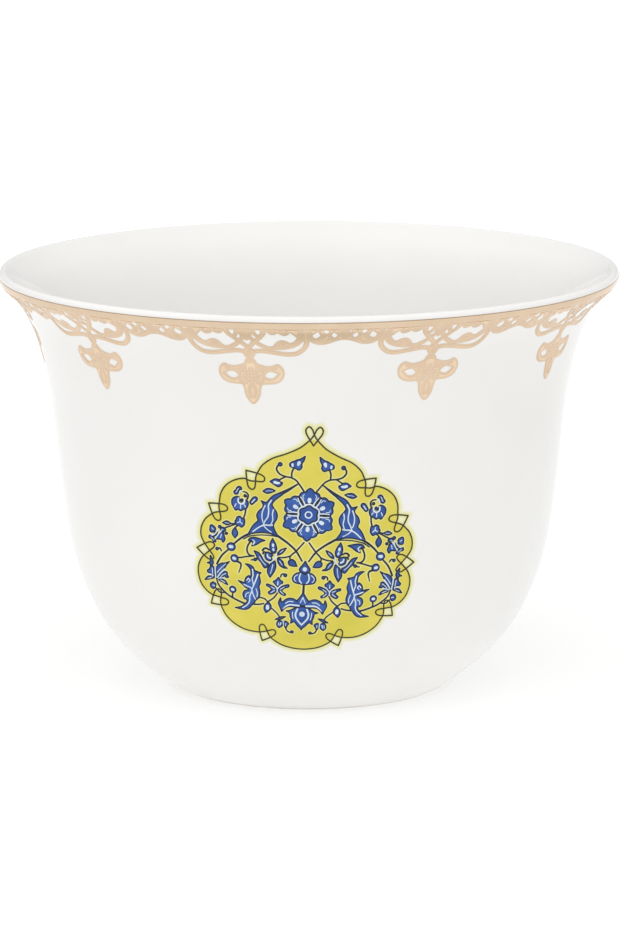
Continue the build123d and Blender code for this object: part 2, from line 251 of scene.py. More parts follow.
class Sheet:
    """A grid of points over part of the drawing, on which shapes are signed distances (negative inside)."""

    FAR = 3.0

    def __init__(self, x0, x1, y0, y1, step):
        self.step = step
        self.x = x0 + step * np.arange(int(round((x1 - x0) / step)) + 1)
        self.y = y0 + step * np.arange(int(round((y1 - y0) / step)) + 1)

    def blank(self):
        return np.full((len(self.y), len(self.x)), self.FAR)

    def window(self, lo, hi, margin=1.3):
        i0, i1 = np.searchsorted(self.x, [lo[0] - margin, hi[0] + margin])
        j0, j1 = np.searchsorted(self.y, [lo[1] - margin, hi[1] + margin])
        return slice(j0, j1), slice(i0, i1)

    def polygon(self, field, pts, join=True):
        """The inside of a closed outline joined to the field."""
        p = np.asarray(pts)
        win = self.window(p.min(0), p.max(0))
        x, y = self.x[win[1]][None, :], self.y[win[0]][:, None]
        if x.size == 0 or y.size == 0:
            return
        d2 = np.full((y.size, x.size), 1e9)
        inside = np.zeros(d2.shape, bool)
        for (ax, ay), (bx, by) in zip(p, np.roll(p, -1, axis=0)):
            ex, ey = bx - ax, by - ay
            l2 = ex * ex + ey * ey
            if l2 < 1e-12:
                continue
            wx, wy = x - ax, y - ay
            t = np.clip((wx * ex + wy * ey) / l2, 0, 1)
            np.minimum(d2, (wx - ex * t) ** 2 + (wy - ey * t) ** 2, out=d2)
            side = ex * wy - ey * wx
            inside ^= ((ay <= y) & (by > y) & (side > 0)) | ((ay > y) & (by <= y) & (side < 0))
        d = np.sqrt(d2)
        d[inside] *= -1
        field[win] = np.minimum(field[win], d)

    def stroke(self, field, pts, w0, w1=None, cut=0.0, ends=None):
        """A line of changing width joined to the field; cut clears a gap beside it first, so that it passes over."""
        p = np.asarray(pts)
        w1 = w0 if w1 is None else w1
        along = np.r_[0.0, np.cumsum(np.hypot(*np.diff(p, axis=0).T))]
        half = (w0 + (w1 - w0) * along / along[-1]) / 2
        if ends is not None:
            taper = np.minimum(1.0, np.minimum(along, along[-1] - along) / ends + 0.25)
            half = half * taper
        win = self.window(p.min(0), p.max(0))
        x, y = self.x[win[1]][None, :], self.y[win[0]][:, None]
        if x.size == 0 or y.size == 0:
            return
        d = np.full((y.size, x.size), 1e9)
        for i in range(len(p) - 1):
            ex, ey = p[i + 1] - p[i]
            l2 = ex * ex + ey * ey
            if l2 < 1e-12:
                continue
            wx, wy = x - p[i, 0], y - p[i, 1]
            t = np.clip((wx * ex + wy * ey) / l2, 0, 1)
            np.minimum(d, np.hypot(wx - ex * t, wy - ey * t) - (half[i] + (half[i + 1] - half[i]) * t), out=d)
        if cut > 0:
            field[win] = np.maximum(field[win], cut - d)
        field[win] = np.minimum(field[win], d)

    def disc(self, field, x, y, r):
        win = self.window((x - r, y - r), (x + r, y + r))
        d = np.hypot(self.x[win[1]][None, :] - x, self.y[win[0]][:, None] - y) - r
        if d.size:
            field[win] = np.minimum(field[win], d)

    def at(self, field, pts):
        """The field between its grid points."""
        fx = np.clip((pts[:, 0] - self.x[0]) / self.step, 0, len(self.x) - 1.001)
        fy = np.clip((pts[:, 1] - self.y[0]) / self.step, 0, len(self.y) - 1.001)
        i, j = fx.astype(int), fy.astype(int)
        u, v = fx - i, fy - j
        return (
            field[j, i] * (1 - u) * (1 - v) + field[j, i + 1] * u * (1 - v)
            + field[j + 1, i] * (1 - u) * v + field[j + 1, i + 1] * u * v
        )

    def rings(self, field, level=0.0):
        """Closed outlines of field < level, the inside on their left; the sheet's own edges close them."""
        big = 1e6
        f = np.pad(field - level, 1, constant_values=big)
        f[np.abs(f) < 1e-9] = 1e-9
        xs = np.r_[self.x[0] - self.step, self.x, self.x[-1] + self.step]
        ys = np.r_[self.y[0] - self.step, self.y, self.y[-1] + self.step]
        neg = f < 0
        code = neg[:-1, :-1] * 1 + neg[:-1, 1:] * 2 + neg[1:, 1:] * 4 + neg[1:, :-1] * 8
        nxt, place = {}, {}
        # edges of a cell: 0 bottom, 1 right, 2 top, 3 left; walked with the inside on the left
        table = {
            1: [(0, 3)], 2: [(1, 0)], 3: [(1, 3)], 4: [(2, 1)], 6: [(2, 0)], 7: [(2, 3)], 8: [(3, 2)],
            9: [(0, 2)], 11: [(1, 2)], 12: [(3, 1)], 13: [(0, 1)], 14: [(3, 0)],
        }

        def key(j, i, e):
            return ((j, i, 0), (j, i + 1, 1), (j + 1, i, 0), (j, i, 1))[e]

        def locate(k):
            if k not in place:
                j, i, up = k
                a, b = f[j, i], f[j + up, i + 1 - up]
                t = a / (a - b)
                place[k] = (xs[i] + (0 if up else t * self.step), ys[j] + (t * self.step if up else 0))

        js, iis = np.nonzero((code > 0) & (code < 15))
        for j, i in zip(js.tolist(), iis.tolist()):
            c = int(code[j, i])
            if c in (5, 10):
                joined = (f[j, i] + f[j, i + 1] + f[j + 1, i] + f[j + 1, i + 1]) < 0
                if c == 5:
                    pairs = [(0, 1), (2, 3)] if joined else [(0, 3), (2, 1)]
                else:
                    pairs = [(3, 0), (1, 2)] if joined else [(1, 0), (3, 2)]
            else:
                pairs = table[c]
            for a, b in pairs:
                ka, kb = key(j, i, a), key(j, i, b)
                locate(ka)
                locate(kb)
                nxt[ka] = kb
        rings = []
        while nxt:
            start, k = next(iter(nxt.items()))
            del nxt[start]
            ring = [place[start]]
            while k != start:
                ring.append(place[k])
                k = nxt.pop(k)
            rings.append(np.array(ring))
        return rings


def simplified(ring, tolerance, longest):
    """A closed outline with only the points it needs, and long straight runs divided."""
    n = len(ring)
    if n < 8:
        return None
    far = int(np.argmax(np.hypot(*(ring - ring[0]).T)))
    pts = np.vstack([ring, ring[:1]])
    keep = {0, far, n}
    todo = [(0, far), (far, n)]
    while todo:
        a, b = todo.pop()
        if b - a < 2:
            continue
        base = pts[b] - pts[a]
        size = np.hypot(*base)
        rel = pts[a + 1 : b] - pts[a]
        off = np.abs(base[0] * rel[:, 1] - base[1] * rel[:, 0]) / size if size > 1e-9 else np.hypot(*rel.T)
        m = int(np.argmax(off))
        if off[m] > tolerance:
            keep.add(a + 1 + m)
            todo += [(a, a + 1 + m), (a + 1 + m, b)]
    out = []
    idx = sorted(keep)
    for a, b in zip(idx[:-1], idx[1:]):
        parts = max(1, int(math.ceil(np.hypot(*(pts[b] - pts[a])) / longest)))
        for k in range(parts):
            out.append(pts[a] + (pts[b] - pts[a]) * (k / parts))
    return np.array(out) if len(out) > 2 else None


def flat_mesh(sheet, field, insets=(), spacing=0.75, tolerance=0.005, longest=0.6, smallest=0.004):
    """Triangles filling field < 0 on one sheet, with extra lines of points at the inset depths."""
    pts, edges = [], []
    for level in (0.0, *insets):
        for ring in sheet.rings(field, -level):
            area = 0.5 * np.sum(ring[:, 0] * np.roll(ring[:, 1], -1) - np.roll(ring[:, 0], -1) * ring[:, 1])
            if abs(area) < smallest:
                continue
            ring = simplified(ring, tolerance, longest)
            if ring is None:
                continue
            base = len(pts)
            pts += ring.tolist()
            edges += [(base + k, base + (k + 1) % len(ring)) for k in range(len(ring))]
    gx = np.arange(sheet.x[0] + spacing / 2, sheet.x[-1], spacing)
    gy = np.arange(sheet.y[0], sheet.y[-1], spacing * 0.866)
    fill = np.array([(x + (spacing / 2 if k % 2 else 0), y) for k, y in enumerate(gy) for x in gx])
    deep = max(insets, default=0.0) + 0.2
    fill = fill[sheet.at(field, fill) < -deep]
    pts += fill.tolist()
    got = geometry.delaunay_2d_cdt([Vector(q) for q in pts], edges, [], 0, 1e-7)
    xy = np.array([tuple(v) for v in got[0]])
    for edge in (sheet.x[0], sheet.x[-1]):
        xy[np.abs(xy[:, 0] - edge) < 1e-5, 0] = edge
    tri = np.array([t for t in got[2] if len(t) == 3])
    mid = xy[tri].mean(1)
    tri = tri[sheet.at(field, mid) < 0]
    # slivers that lie along an edge of the sheet have no area
    side = xy[tri][:, :, 0]
    tri = tri[~(np.all(side == sheet.x[0], axis=1) | np.all(side == sheet.x[-1], axis=1))]
    used = np.unique(tri)
    back = np.full(len(xy), -1)
    back[used] = np.arange(len(used))
    return xy[used], back[tri]


def raised(name, sheet, field, flats, low, high, material, roll=0.0, bevel=None):
    """A thin closed layer on the glaze, from flat triangles.

    flats is a list of (xy, triangles, turn, s, gradient axes); roll is an extra turn. With bevel (depth, drop) the
    top is rounded off towards its edge, otherwise it follows the glaze."""
    turns, downs, depth, slope_x, slope_y, tris = [], [], [], [], [], []
    base = 0
    gy, gx = np.gradient(field, sheet.step)
    for xy, tri, to_surface, mirrored in flats:
        t, s, (ax, ay) = to_surface(xy * ((-1, 1) if mirrored else (1, 1)))
        turns.append(t)
        downs.append(s)
        d = sheet.at(field, xy)
        depth.append(d)
        sx, sy = sheet.at(gx, xy) * (-1 if mirrored else 1), sheet.at(gy, xy)
        # drawing directions as parts of (right, up)
        slope_x.append(sx * ax[0] + sy * ay[0])
        slope_y.append(sx * ax[1] + sy * ay[1])
        tris.append((tri[:, ::-1] if mirrored else tri) + base)
        base += len(xy)
    t, s = np.concatenate(turns) + roll, np.concatenate(downs)
    d, sx, sy = np.concatenate(depth), np.concatenate(slope_x), np.concatenate(slope_y)
    tri = np.vstack(tris)
    here = on_glaze(t, s)
    _, pick, back = np.unique(np.round(here / 2e-4).astype(np.int64), axis=0, return_index=True, return_inverse=True)
    back = np.asarray(back).ravel()
    t, s, d, sx, sy = t[pick], s[pick], d[pick], sx[pick], sy[pick]
    tri = back[tri]
    tri = tri[(tri[:, 0] != tri[:, 1]) & (tri[:, 1] != tri[:, 2]) & (tri[:, 2] != tri[:, 0])]
    if bevel:
        w, drop = bevel
        k = np.clip(-d / w, 0, 1)
        top = high - drop * (1 - k) ** 2
        tilt = -2 * drop * (1 - k) / w
    else:
        top, tilt = np.full(len(t), high), np.zeros(len(t))
    normal, right, up = glaze_axes(t, s)
    lean = normal - (tilt * sx)[:, None] * right - (tilt * sy)[:, None] * up
    lean /= np.linalg.norm(lean, axis=1)[:, None]
    upper, lower = on_glaze(t, s, top), on_glaze(t, s, low)
    a, b, c = (upper[tri[:, k]] for k in range(3))
    wrong = np.einsum("ij,ij->i", np.cross(b - a, c - a), normal[tri[:, 0]]) < 0
    tri[wrong] = tri[wrong][:, ::-1]
    n = len(t)
    pairs = np.vstack([tri[:, [0, 1]], tri[:, [1, 2]], tri[:, [2, 0]]])
    both = np.sort(pairs, axis=1)
    _, idx, counts = np.unique(both, axis=0, return_index=True, return_counts=True)
    rim = pairs[idx[counts == 1]]
    quads = np.c_[rim[:, 1], rim[:, 0], rim[:, 0] + n, rim[:, 1] + n]
    faces = tri.tolist() + (tri[:, ::-1] + n).tolist() + quads.tolist()
    verts = np.vstack([upper, lower])
    obj = new_object(name, verts, faces, material)
    p = verts[quads]
    side = np.cross(p[:, 1] - p[:, 0], p[:, 3] - p[:, 0])
    side /= np.maximum(np.linalg.norm(side, axis=1), 1e-12)[:, None]
    loops = np.vstack([lean[tri].reshape(-1, 3), -normal[tri[:, ::-1]].reshape(-1, 3), np.repeat(side, 4, axis=0)])
    obj.data.normals_split_custom_set(loops.tolist())
    edge = obj.data.attributes.new("depth", "FLOAT", "POINT")
    edge.data.foreach_set("value", np.r_[-d, -d].astype(np.float32))
    return obj


def placed(obj, slot, *nodes):
    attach(obj, "root")
    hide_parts(*nodes)
    return obj

# ---------------------------------------------------------------- motifs of the medallion, right half

SHAPES = [
    # half palmette
    [(3.24, 2.42), (4.09, 2), (4.54, 1.46), (4.86, 1.1), (5.44, 1.24, 1), (5.18, 0.78), (5.28,
         0.38), (5.66, -0.04), (5.86, -0.6), (5.7, -1.18), (6.04, -1.56), (6.4, -2.1), (6.78, -2.96,
         1), (6.04, -2.74), (5.14, -2.58), (4.24, -2.62), (3.3, -2.86, 1), (3.7, -2.22), (3.9,
         -1.68), (3.82, -1.28), (3.6, -0.86), (3.52, -0.34), (3.68, 0.12), (3.98, 0.5), (4.18,
         0.94), (3.94, 1.4), (3.54, 1.8), (3, 2.3)],
    # top bud
    [(2.39, 5.66), (2.44, 6), (2.2, 6.22), (1.96, 6.32), (1.66, 6.5), (1.34, 6.6), (0.82, 6.98, 1),
         (0.92, 6.46), (1.14, 6.06), (1.1, 5.62), (1.38, 5.3), (1.8, 5.46)],
    # bell
    [(4.54, 3.66, 1), (4.06, 4), (3.6, 3.98), (3.42, 3.72), (3.16, 3.64), (3.26, 3.34), (3.58,
         3.12), (4, 3.3)],
    # leaf
    [(5.28, 2.42, 1), (4.86, 2.76), (4.36, 2.78), (3.92, 2.6, 1), (4.36, 2.34), (4.86, 2.22)],
    # pansy, skirt
    [(8.04, 1.44), (8.5, 1.36), (8.8, 1.02), (8.8, 0.5), (8.58, 0.1), (8.36, -0.22), (8.08, -0.08),
         (7.78, -0.22), (7.46, -0.04), (7.08, 0.16), (6.92, 0.56), (6.96, 0.98), (7.24, 1.12),
         (7.44, 0.74), (7.82, 0.72), (7.96, 1.06)],
    # pansy, outer ear
    [(7.78, 2.58), (8.06, 2.68), (8.28, 2.5), (8.42, 2.2), (8.62, 2), (8.46, 1.72), (8.14, 1.84),
         (8.06, 2.18), (7.92, 2.34), (7.76, 2.34)],
    # pansy, inner ear
    [(5.96, 1.6), (6.3, 1.6), (6.56, 1.26), (6.72, 0.9), (6.5, 0.68), (6.18, 0.98), (5.9, 1.3)],
    # small flower
    [(7.3, -1.16), (7.6, -1.1), (7.82, -0.92), (8.16, -1.06), (8.24, -1.34), (8.38, -1.6), (8.2,
         -2.02), (7.88, -2.06), (7.6, -2.2), (7.34, -1.98), (7.24, -1.66)],
    # small leaf
    [(9.86, -1.95, 1), (9.36, -1.68), (8.86, -1.92, 1), (9.36, -2.14)],
    # small leaf, lower
    [(8.34, -2.34, 1), (8.08, -2.8), (8.06, -3.2), (8.34, -3.62, 1), (8.66, -3.2), (8.64, -2.76)],
    # outer blossom, petal 1
    [(10.72, -2.74), (11, -2.48), (11.32, -2.46), (11.42, -2.9), (11.36, -3.24), (11.02, -3.28),
         (10.78, -3.04)],
    # outer blossom, petal 2
    [(9.48, -2.76), (9.76, -2.54), (10.02, -2.56), (10.08, -2.9), (9.86, -3.06), (9.62, -2.98)],
    # outer blossom, petal 3
    [(9.76, -3.18), (10.04, -3.16), (10.26, -3.38), (10.48, -3.7), (10.64, -4.04), (10.26, -4.04),
         (9.96, -4.06), (9.78, -4.34), (9.54, -3.98), (9.64, -3.54)],
    # outer blossom, petal 4
    [(11.12, -3.76), (11.46, -3.72), (11.5, -4.02), (11.12, -4.14), (10.96, -4.44), (10.66, -4.38),
         (10.8, -4.06)],
    # outer blossom, petal 5
    [(10.44, -3.08), (10.72, -3.26), (11, -3.72), (10.68, -3.64)],
    # bulb
    [(9.28, -4.78), (9.08, -4.4), (8.7, -4.28), (8.36, -4.5), (8.3, -4.86), (8.56, -5.18), (9,
         -5.16)],
    # trumpet
    [(4.79, -3.52, 1), (5.44, -3.36), (6.04, -3.28), (6.54, -3.42), (6.72, -3.74), (6.4, -3.72),
         (6.2, -3.96), (6.3, -4.34, 1), (5.78, -4.12), (5.28, -3.74)],
    # star, top petal
    [(3.92, -3.2, 1), (3.54, -3.85), (3.4, -4.4), (3.52, -4.86), (3.74, -4.98), (4.06, -4.76), (4.2,
         -4.2), (4.16, -3.74)],
    # star, upper petal
    [(2.3, -4.22, 1), (2.86, -4.46), (3.2, -4.84), (3.3, -5.14), (2.94, -5.04), (2.56, -4.68)],
    # star, lower inner petal
    [(2.06, -6.68, 1), (2.44, -6.4), (2.56, -6), (2.79, -5.74), (3.22, -5.56), (3.18, -6), (2.91,
         -6.42), (2.49, -6.66)],
    # star, lower petal
    [(3.52, -5.92, 1), (3.4, -6.5), (3.52, -7.1), (3.78, -7.6), (4.02, -8, 1), (4.34, -7.4), (4.32,
         -6.9), (4.06, -6.36), (3.8, -6.08)],
    # star, curved leaf
    [(6.02, -4.92, 1), (5.49, -5.08), (5.16, -5.48), (4.87, -5.92), (4.54, -6.2), (4.3, -6.36),
         (4.42, -6.72), (4.7, -6.88), (4.92, -6.62), (5.17, -6.22), (5.52, -5.86), (5.72, -5.44)],
    # star, swirl
    [(3.82, -5.22), (4.14, -5), (4.54, -4.92), (4.72, -5.28), (4.62, -5.7), (4.26, -5.92), (3.87,
         -5.82), (4, -5.5)],
    # bud leaf
    [(0.94, -6.34, 1), (1.22, -5.76), (1.59, -5.56), (1.94, -5.82), (1.86, -6.22), (1.44, -6.36)],
    # saz leaf
    [(6.99, -6.64, 1), (6.49, -6.7), (6.09, -6.93), (5.84, -7.34), (5.12, -7.54, 1), (5.32, -7.8),
         (5.26, -8.2), (5.16, -8.7), (5.32, -9.3), (5.22, -9.86), (5.2, -10.3), (5.38, -10.8), (5.7,
         -11.12), (5.9, -11.5), (6.2, -11.8), (6.44, -12.14), (6.84, -12.42), (7.34, -12.52), (8.28,
         -12.4, 1), (7.56, -12.18), (7.16, -11.88), (6.84, -11.5), (6.74, -11.2), (7.12, -11),
         (7.28, -10.5), (7.08, -10.04), (6.66, -9.88), (6.6, -9.72), (6.98, -9.58), (7.28, -9.28),
         (7.86, -8.84, 1), (7.2, -8.98), (6.96, -9.08), (7.04, -8.78), (6.92, -8.38), (6.56, -8.06),
         (6.38, -8.28), (6.3, -7.88), (6.36, -7.32), (6.6, -6.96)],
    # side flower, leaf
    [(8.96, -6.62, 1), (9.46, -6.86), (9.94, -6.97), (10.36, -7.26), (10.58, -7.7), (10.62, -8.28),
         (10.54, -8.78, 1), (10.22, -8.32), (9.86, -7.92), (9.5, -7.42), (9.26, -7)],
    # side flower, petal 1
    [(10.92, -7.58), (11.28, -7.46), (11.46, -7.88), (11.74, -8.14), (11.6, -8.38), (11.26, -8.38),
         (11.12, -8.54), (11.24, -8.76), (11.66, -8.84), (12.08, -9.32, 1), (11.64, -9.22), (11.14,
         -9.03), (10.86, -8.86), (10.82, -8.4), (10.86, -8)],
    # side flower, petal 3
    [(9.24, -7.98), (9.6, -7.96), (9.96, -8.28), (10.26, -8.64), (10.38, -8.88), (10.04, -8.84),
         (9.78, -8.66), (9.58, -8.44), (9.38, -8.64), (9.06, -8.58), (9.22, -8.3)],
    # side flower, petal 4
    [(9.16, -9.56, 1), (9.42, -9.14), (9.84, -8.93), (10.34, -8.85), (10.18, -9.18), (9.81, -9.28),
         (9.46, -9.48)],
    # side flower, spur
    [(10.97, -6.98), (11.12, -6.5), (11.36, -6.22), (11.36, -6.9), (11.74, -7.16, 1), (11.38,
         -7.26), (11.3, -7.5), (11.08, -7.3)],
    # second side flower
    [(10.68, -9.66), (11.04, -9.48), (11.36, -9.74), (11.36, -10.12), (11.04, -10.32), (10.8,
         -10.16), (10.74, -9.92)],
    # small blossom, top
    [(3.04, -7.92), (3.28, -8.24), (3.62, -8.5), (3.36, -8.78), (3.08, -9.06), (2.78, -8.86), (2.5,
         -8.46), (2.8, -8.22)],
    # small blossom, outer petals
    [(3.32, -9.22), (3.66, -9.06), (4.34, -8.86), (4.4, -9.06), (3.96, -9.28), (3.82, -9.54), (3.96,
         -9.7), (4.18, -9.9), (4, -10.12), (3.64, -10.02), (3.34, -9.76), (3.22, -9.46)],
    # small blossom, inner petals
    [(2.88, -9.26), (2.54, -8.98), (1.84, -8.72), (1.76, -8.96), (2.24, -9.18), (2.5, -9.38), (2.56,
         -9.6), (2.42, -9.76), (2.12, -9.94), (2.22, -10.12), (2.64, -9.98), (2.9, -9.72), (3,
         -9.46)],
    # tear
    [(4.14, -11.16, 1), (3.86, -11.52), (3.82, -11.96), (4.08, -12.3), (4.44, -12.62, 1), (4.66,
         -12.16), (4.62, -11.72), (4.4, -11.38)],
    # bottom flower, left
    [(2.36, -13.66), (2.74, -13.52), (3, -13.72), (3.08, -14.12), (2.82, -14.5), (2.44, -14.26),
         (2.28, -13.94)],
    # bottom flower, right
    [(1.6, -13.82), (1.98, -13.54), (2.16, -13.74), (2.12, -14.12), (1.94, -14.52), (1.78, -14.16)],
    # bottom flower, sepals
    [(2.02, -12.92, 1), (2.54, -12.98), (2.8, -13.1), (3.28, -13.42, 1), (2.72, -13.36), (2.5,
         -13.26)],
]
STEMS = [
    # palmette stem
    (0.1, 0.4, [(1.36, 3.66), (2, 3.16), (2.6, 2.72), (3.34, 2.24)]),
    # stem from the rosette
    (0.13, 0.14, [(0.72, 2.84), (1.04, 3.28), (1.56, 3.96), (2.14, 4.3), (2.92, 4.42), (3.54, 4.68), (3.88, 5.16), (3.8, 5.6), (3.52, 5.8)]),
    # stem to the top bud
    (0.12, 0.14, [(2.16, 4.36), (2.16, 5), (1.96, 5.52)]),
    # stem to the bell
    (0.12, 0.13, [(2.82, 4.38), (3.28, 4.12), (3.6, 3.86)]),
    # pansy stem
    (0.13, 0.13, [(7.16, 0), (7.24, -0.6), (7.42, -1.14)]),
    # pansy collar
    (0.16, 0.1, [(7.04, 1.3), (6.94, 1.74), (7.18, 2.06), (7.54, 2.1)]),
    # small flower stem
    (0.13, 0.13, [(8.28, -1.9), (8.94, -2.24), (9.66, -2.6)]),
    # leaf stem
    (0.12, 0.12, [(8.34, -1.84), (8.64, -1.92), (8.94, -1.92)]),
    # lower leaf stem
    (0.12, 0.12, [(8.04, -2.06), (8.24, -2.24), (8.34, -2.44)]),
    # big arc
    (0.15, 0.22, [(8.5, -4.4), (7.86, -3.76), (7.18, -3.22), (6.62, -2.9)]),
    # cross line one
    (0.22, 0.14, [(3.38, -2.8), (2.78, -3.18), (2, -3.72), (1.14, -4.5), (0.4, -5.66)]),
    # cross line two
    (0.13, 0.13, [(0.3, -3.4), (1.14, -4.5), (1.6, -4.96), (1.82, -5.3), (1.72, -5.7)]),
    # star stem
    (0.11, 0.13, [(3.14, -5.44), (2.48, -5.4), (1.78, -5.16)]),
    # star hook
    (0.14, 0.2, [(4.28, -4.62), (4.54, -4.46), (4.84, -4.5), (5.02, -4.74)]),
    # star hook, lower
    (0.12, 0.18, [(4.6, -4.98), (4.86, -4.94), (4.96, -5.18)]),
    # arc below the bulb
    (0.14, 0.18, [(9.14, -5.18), (9.84, -5.9), (10.26, -6.6), (10.5, -7.1)]),
    # hook
    (0.12, 0.14, [(9.96, -5.42), (10.16, -5.12), (10.5, -5.22)]),
    # trumpet stem
    (0.15, 0.14, [(6.36, -3.7), (6.66, -4.1), (6.86, -4.66), (6.8, -5.18), (6.52, -5.5), (6.04, -5.56)]),
    # line to the ball
    (0.13, 0.13, [(6.04, -5.54), (6.94, -5.74), (7.54, -5.92), (7.96, -5.96)]),
    # ball tail
    (0.22, 0.06, [(8.08, -6.44), (7.64, -6.62), (7.54, -7), (7.8, -7.84)]),
    # side stem
    (0.14, 0.19, [(10.58, -8.9), (10.38, -9.6), (10, -10.12), (9.24, -10.78), (8.44, -11.2), (7.54, -11.56), (7.12, -11.68)]),
    # side stem, lower
    (0.13, 0.13, [(10.64, -10.22), (10.42, -10.46), (10.14, -10.66), (9.56, -10.62)]),
    # curl stem
    (0.13, 0.13, [(8.5, -10.4), (8.6, -10.8), (8.54, -11.14)]),
    # small leaf by the star
    (0.2, 0.1, [(5.66, -5.84), (6, -6), (6.34, -6.08)]),
    # blossom stem
    (0.13, 0.13, [(3.08, -9.88), (3.48, -10.52), (4.11, -11.06)]),
    # blossom hook
    (0.12, 0.13, [(2.77, -7.83), (2.68, -7.5), (2.4, -7.42), (2.22, -7.58)]),
    # tear loop, upper
    (0.13, 0.13, [(5.44, -10.66), (4.66, -10.76), (4.16, -11.23)]),
    # tear loop, lower
    (0.15, 0.13, [(5.88, -11.66), (5.24, -11.58), (4.73, -11.43)]),
    # stem to the bottom flower
    (0.12, 0.12, [(3.73, -11.95), (3.07, -12.55), (2.73, -13.05)]),
    # bottom hook
    (0.11, 0.15, [(1.98, -14.42), (1.78, -14.84), (1.46, -15.04), (1.16, -14.98)]),
]
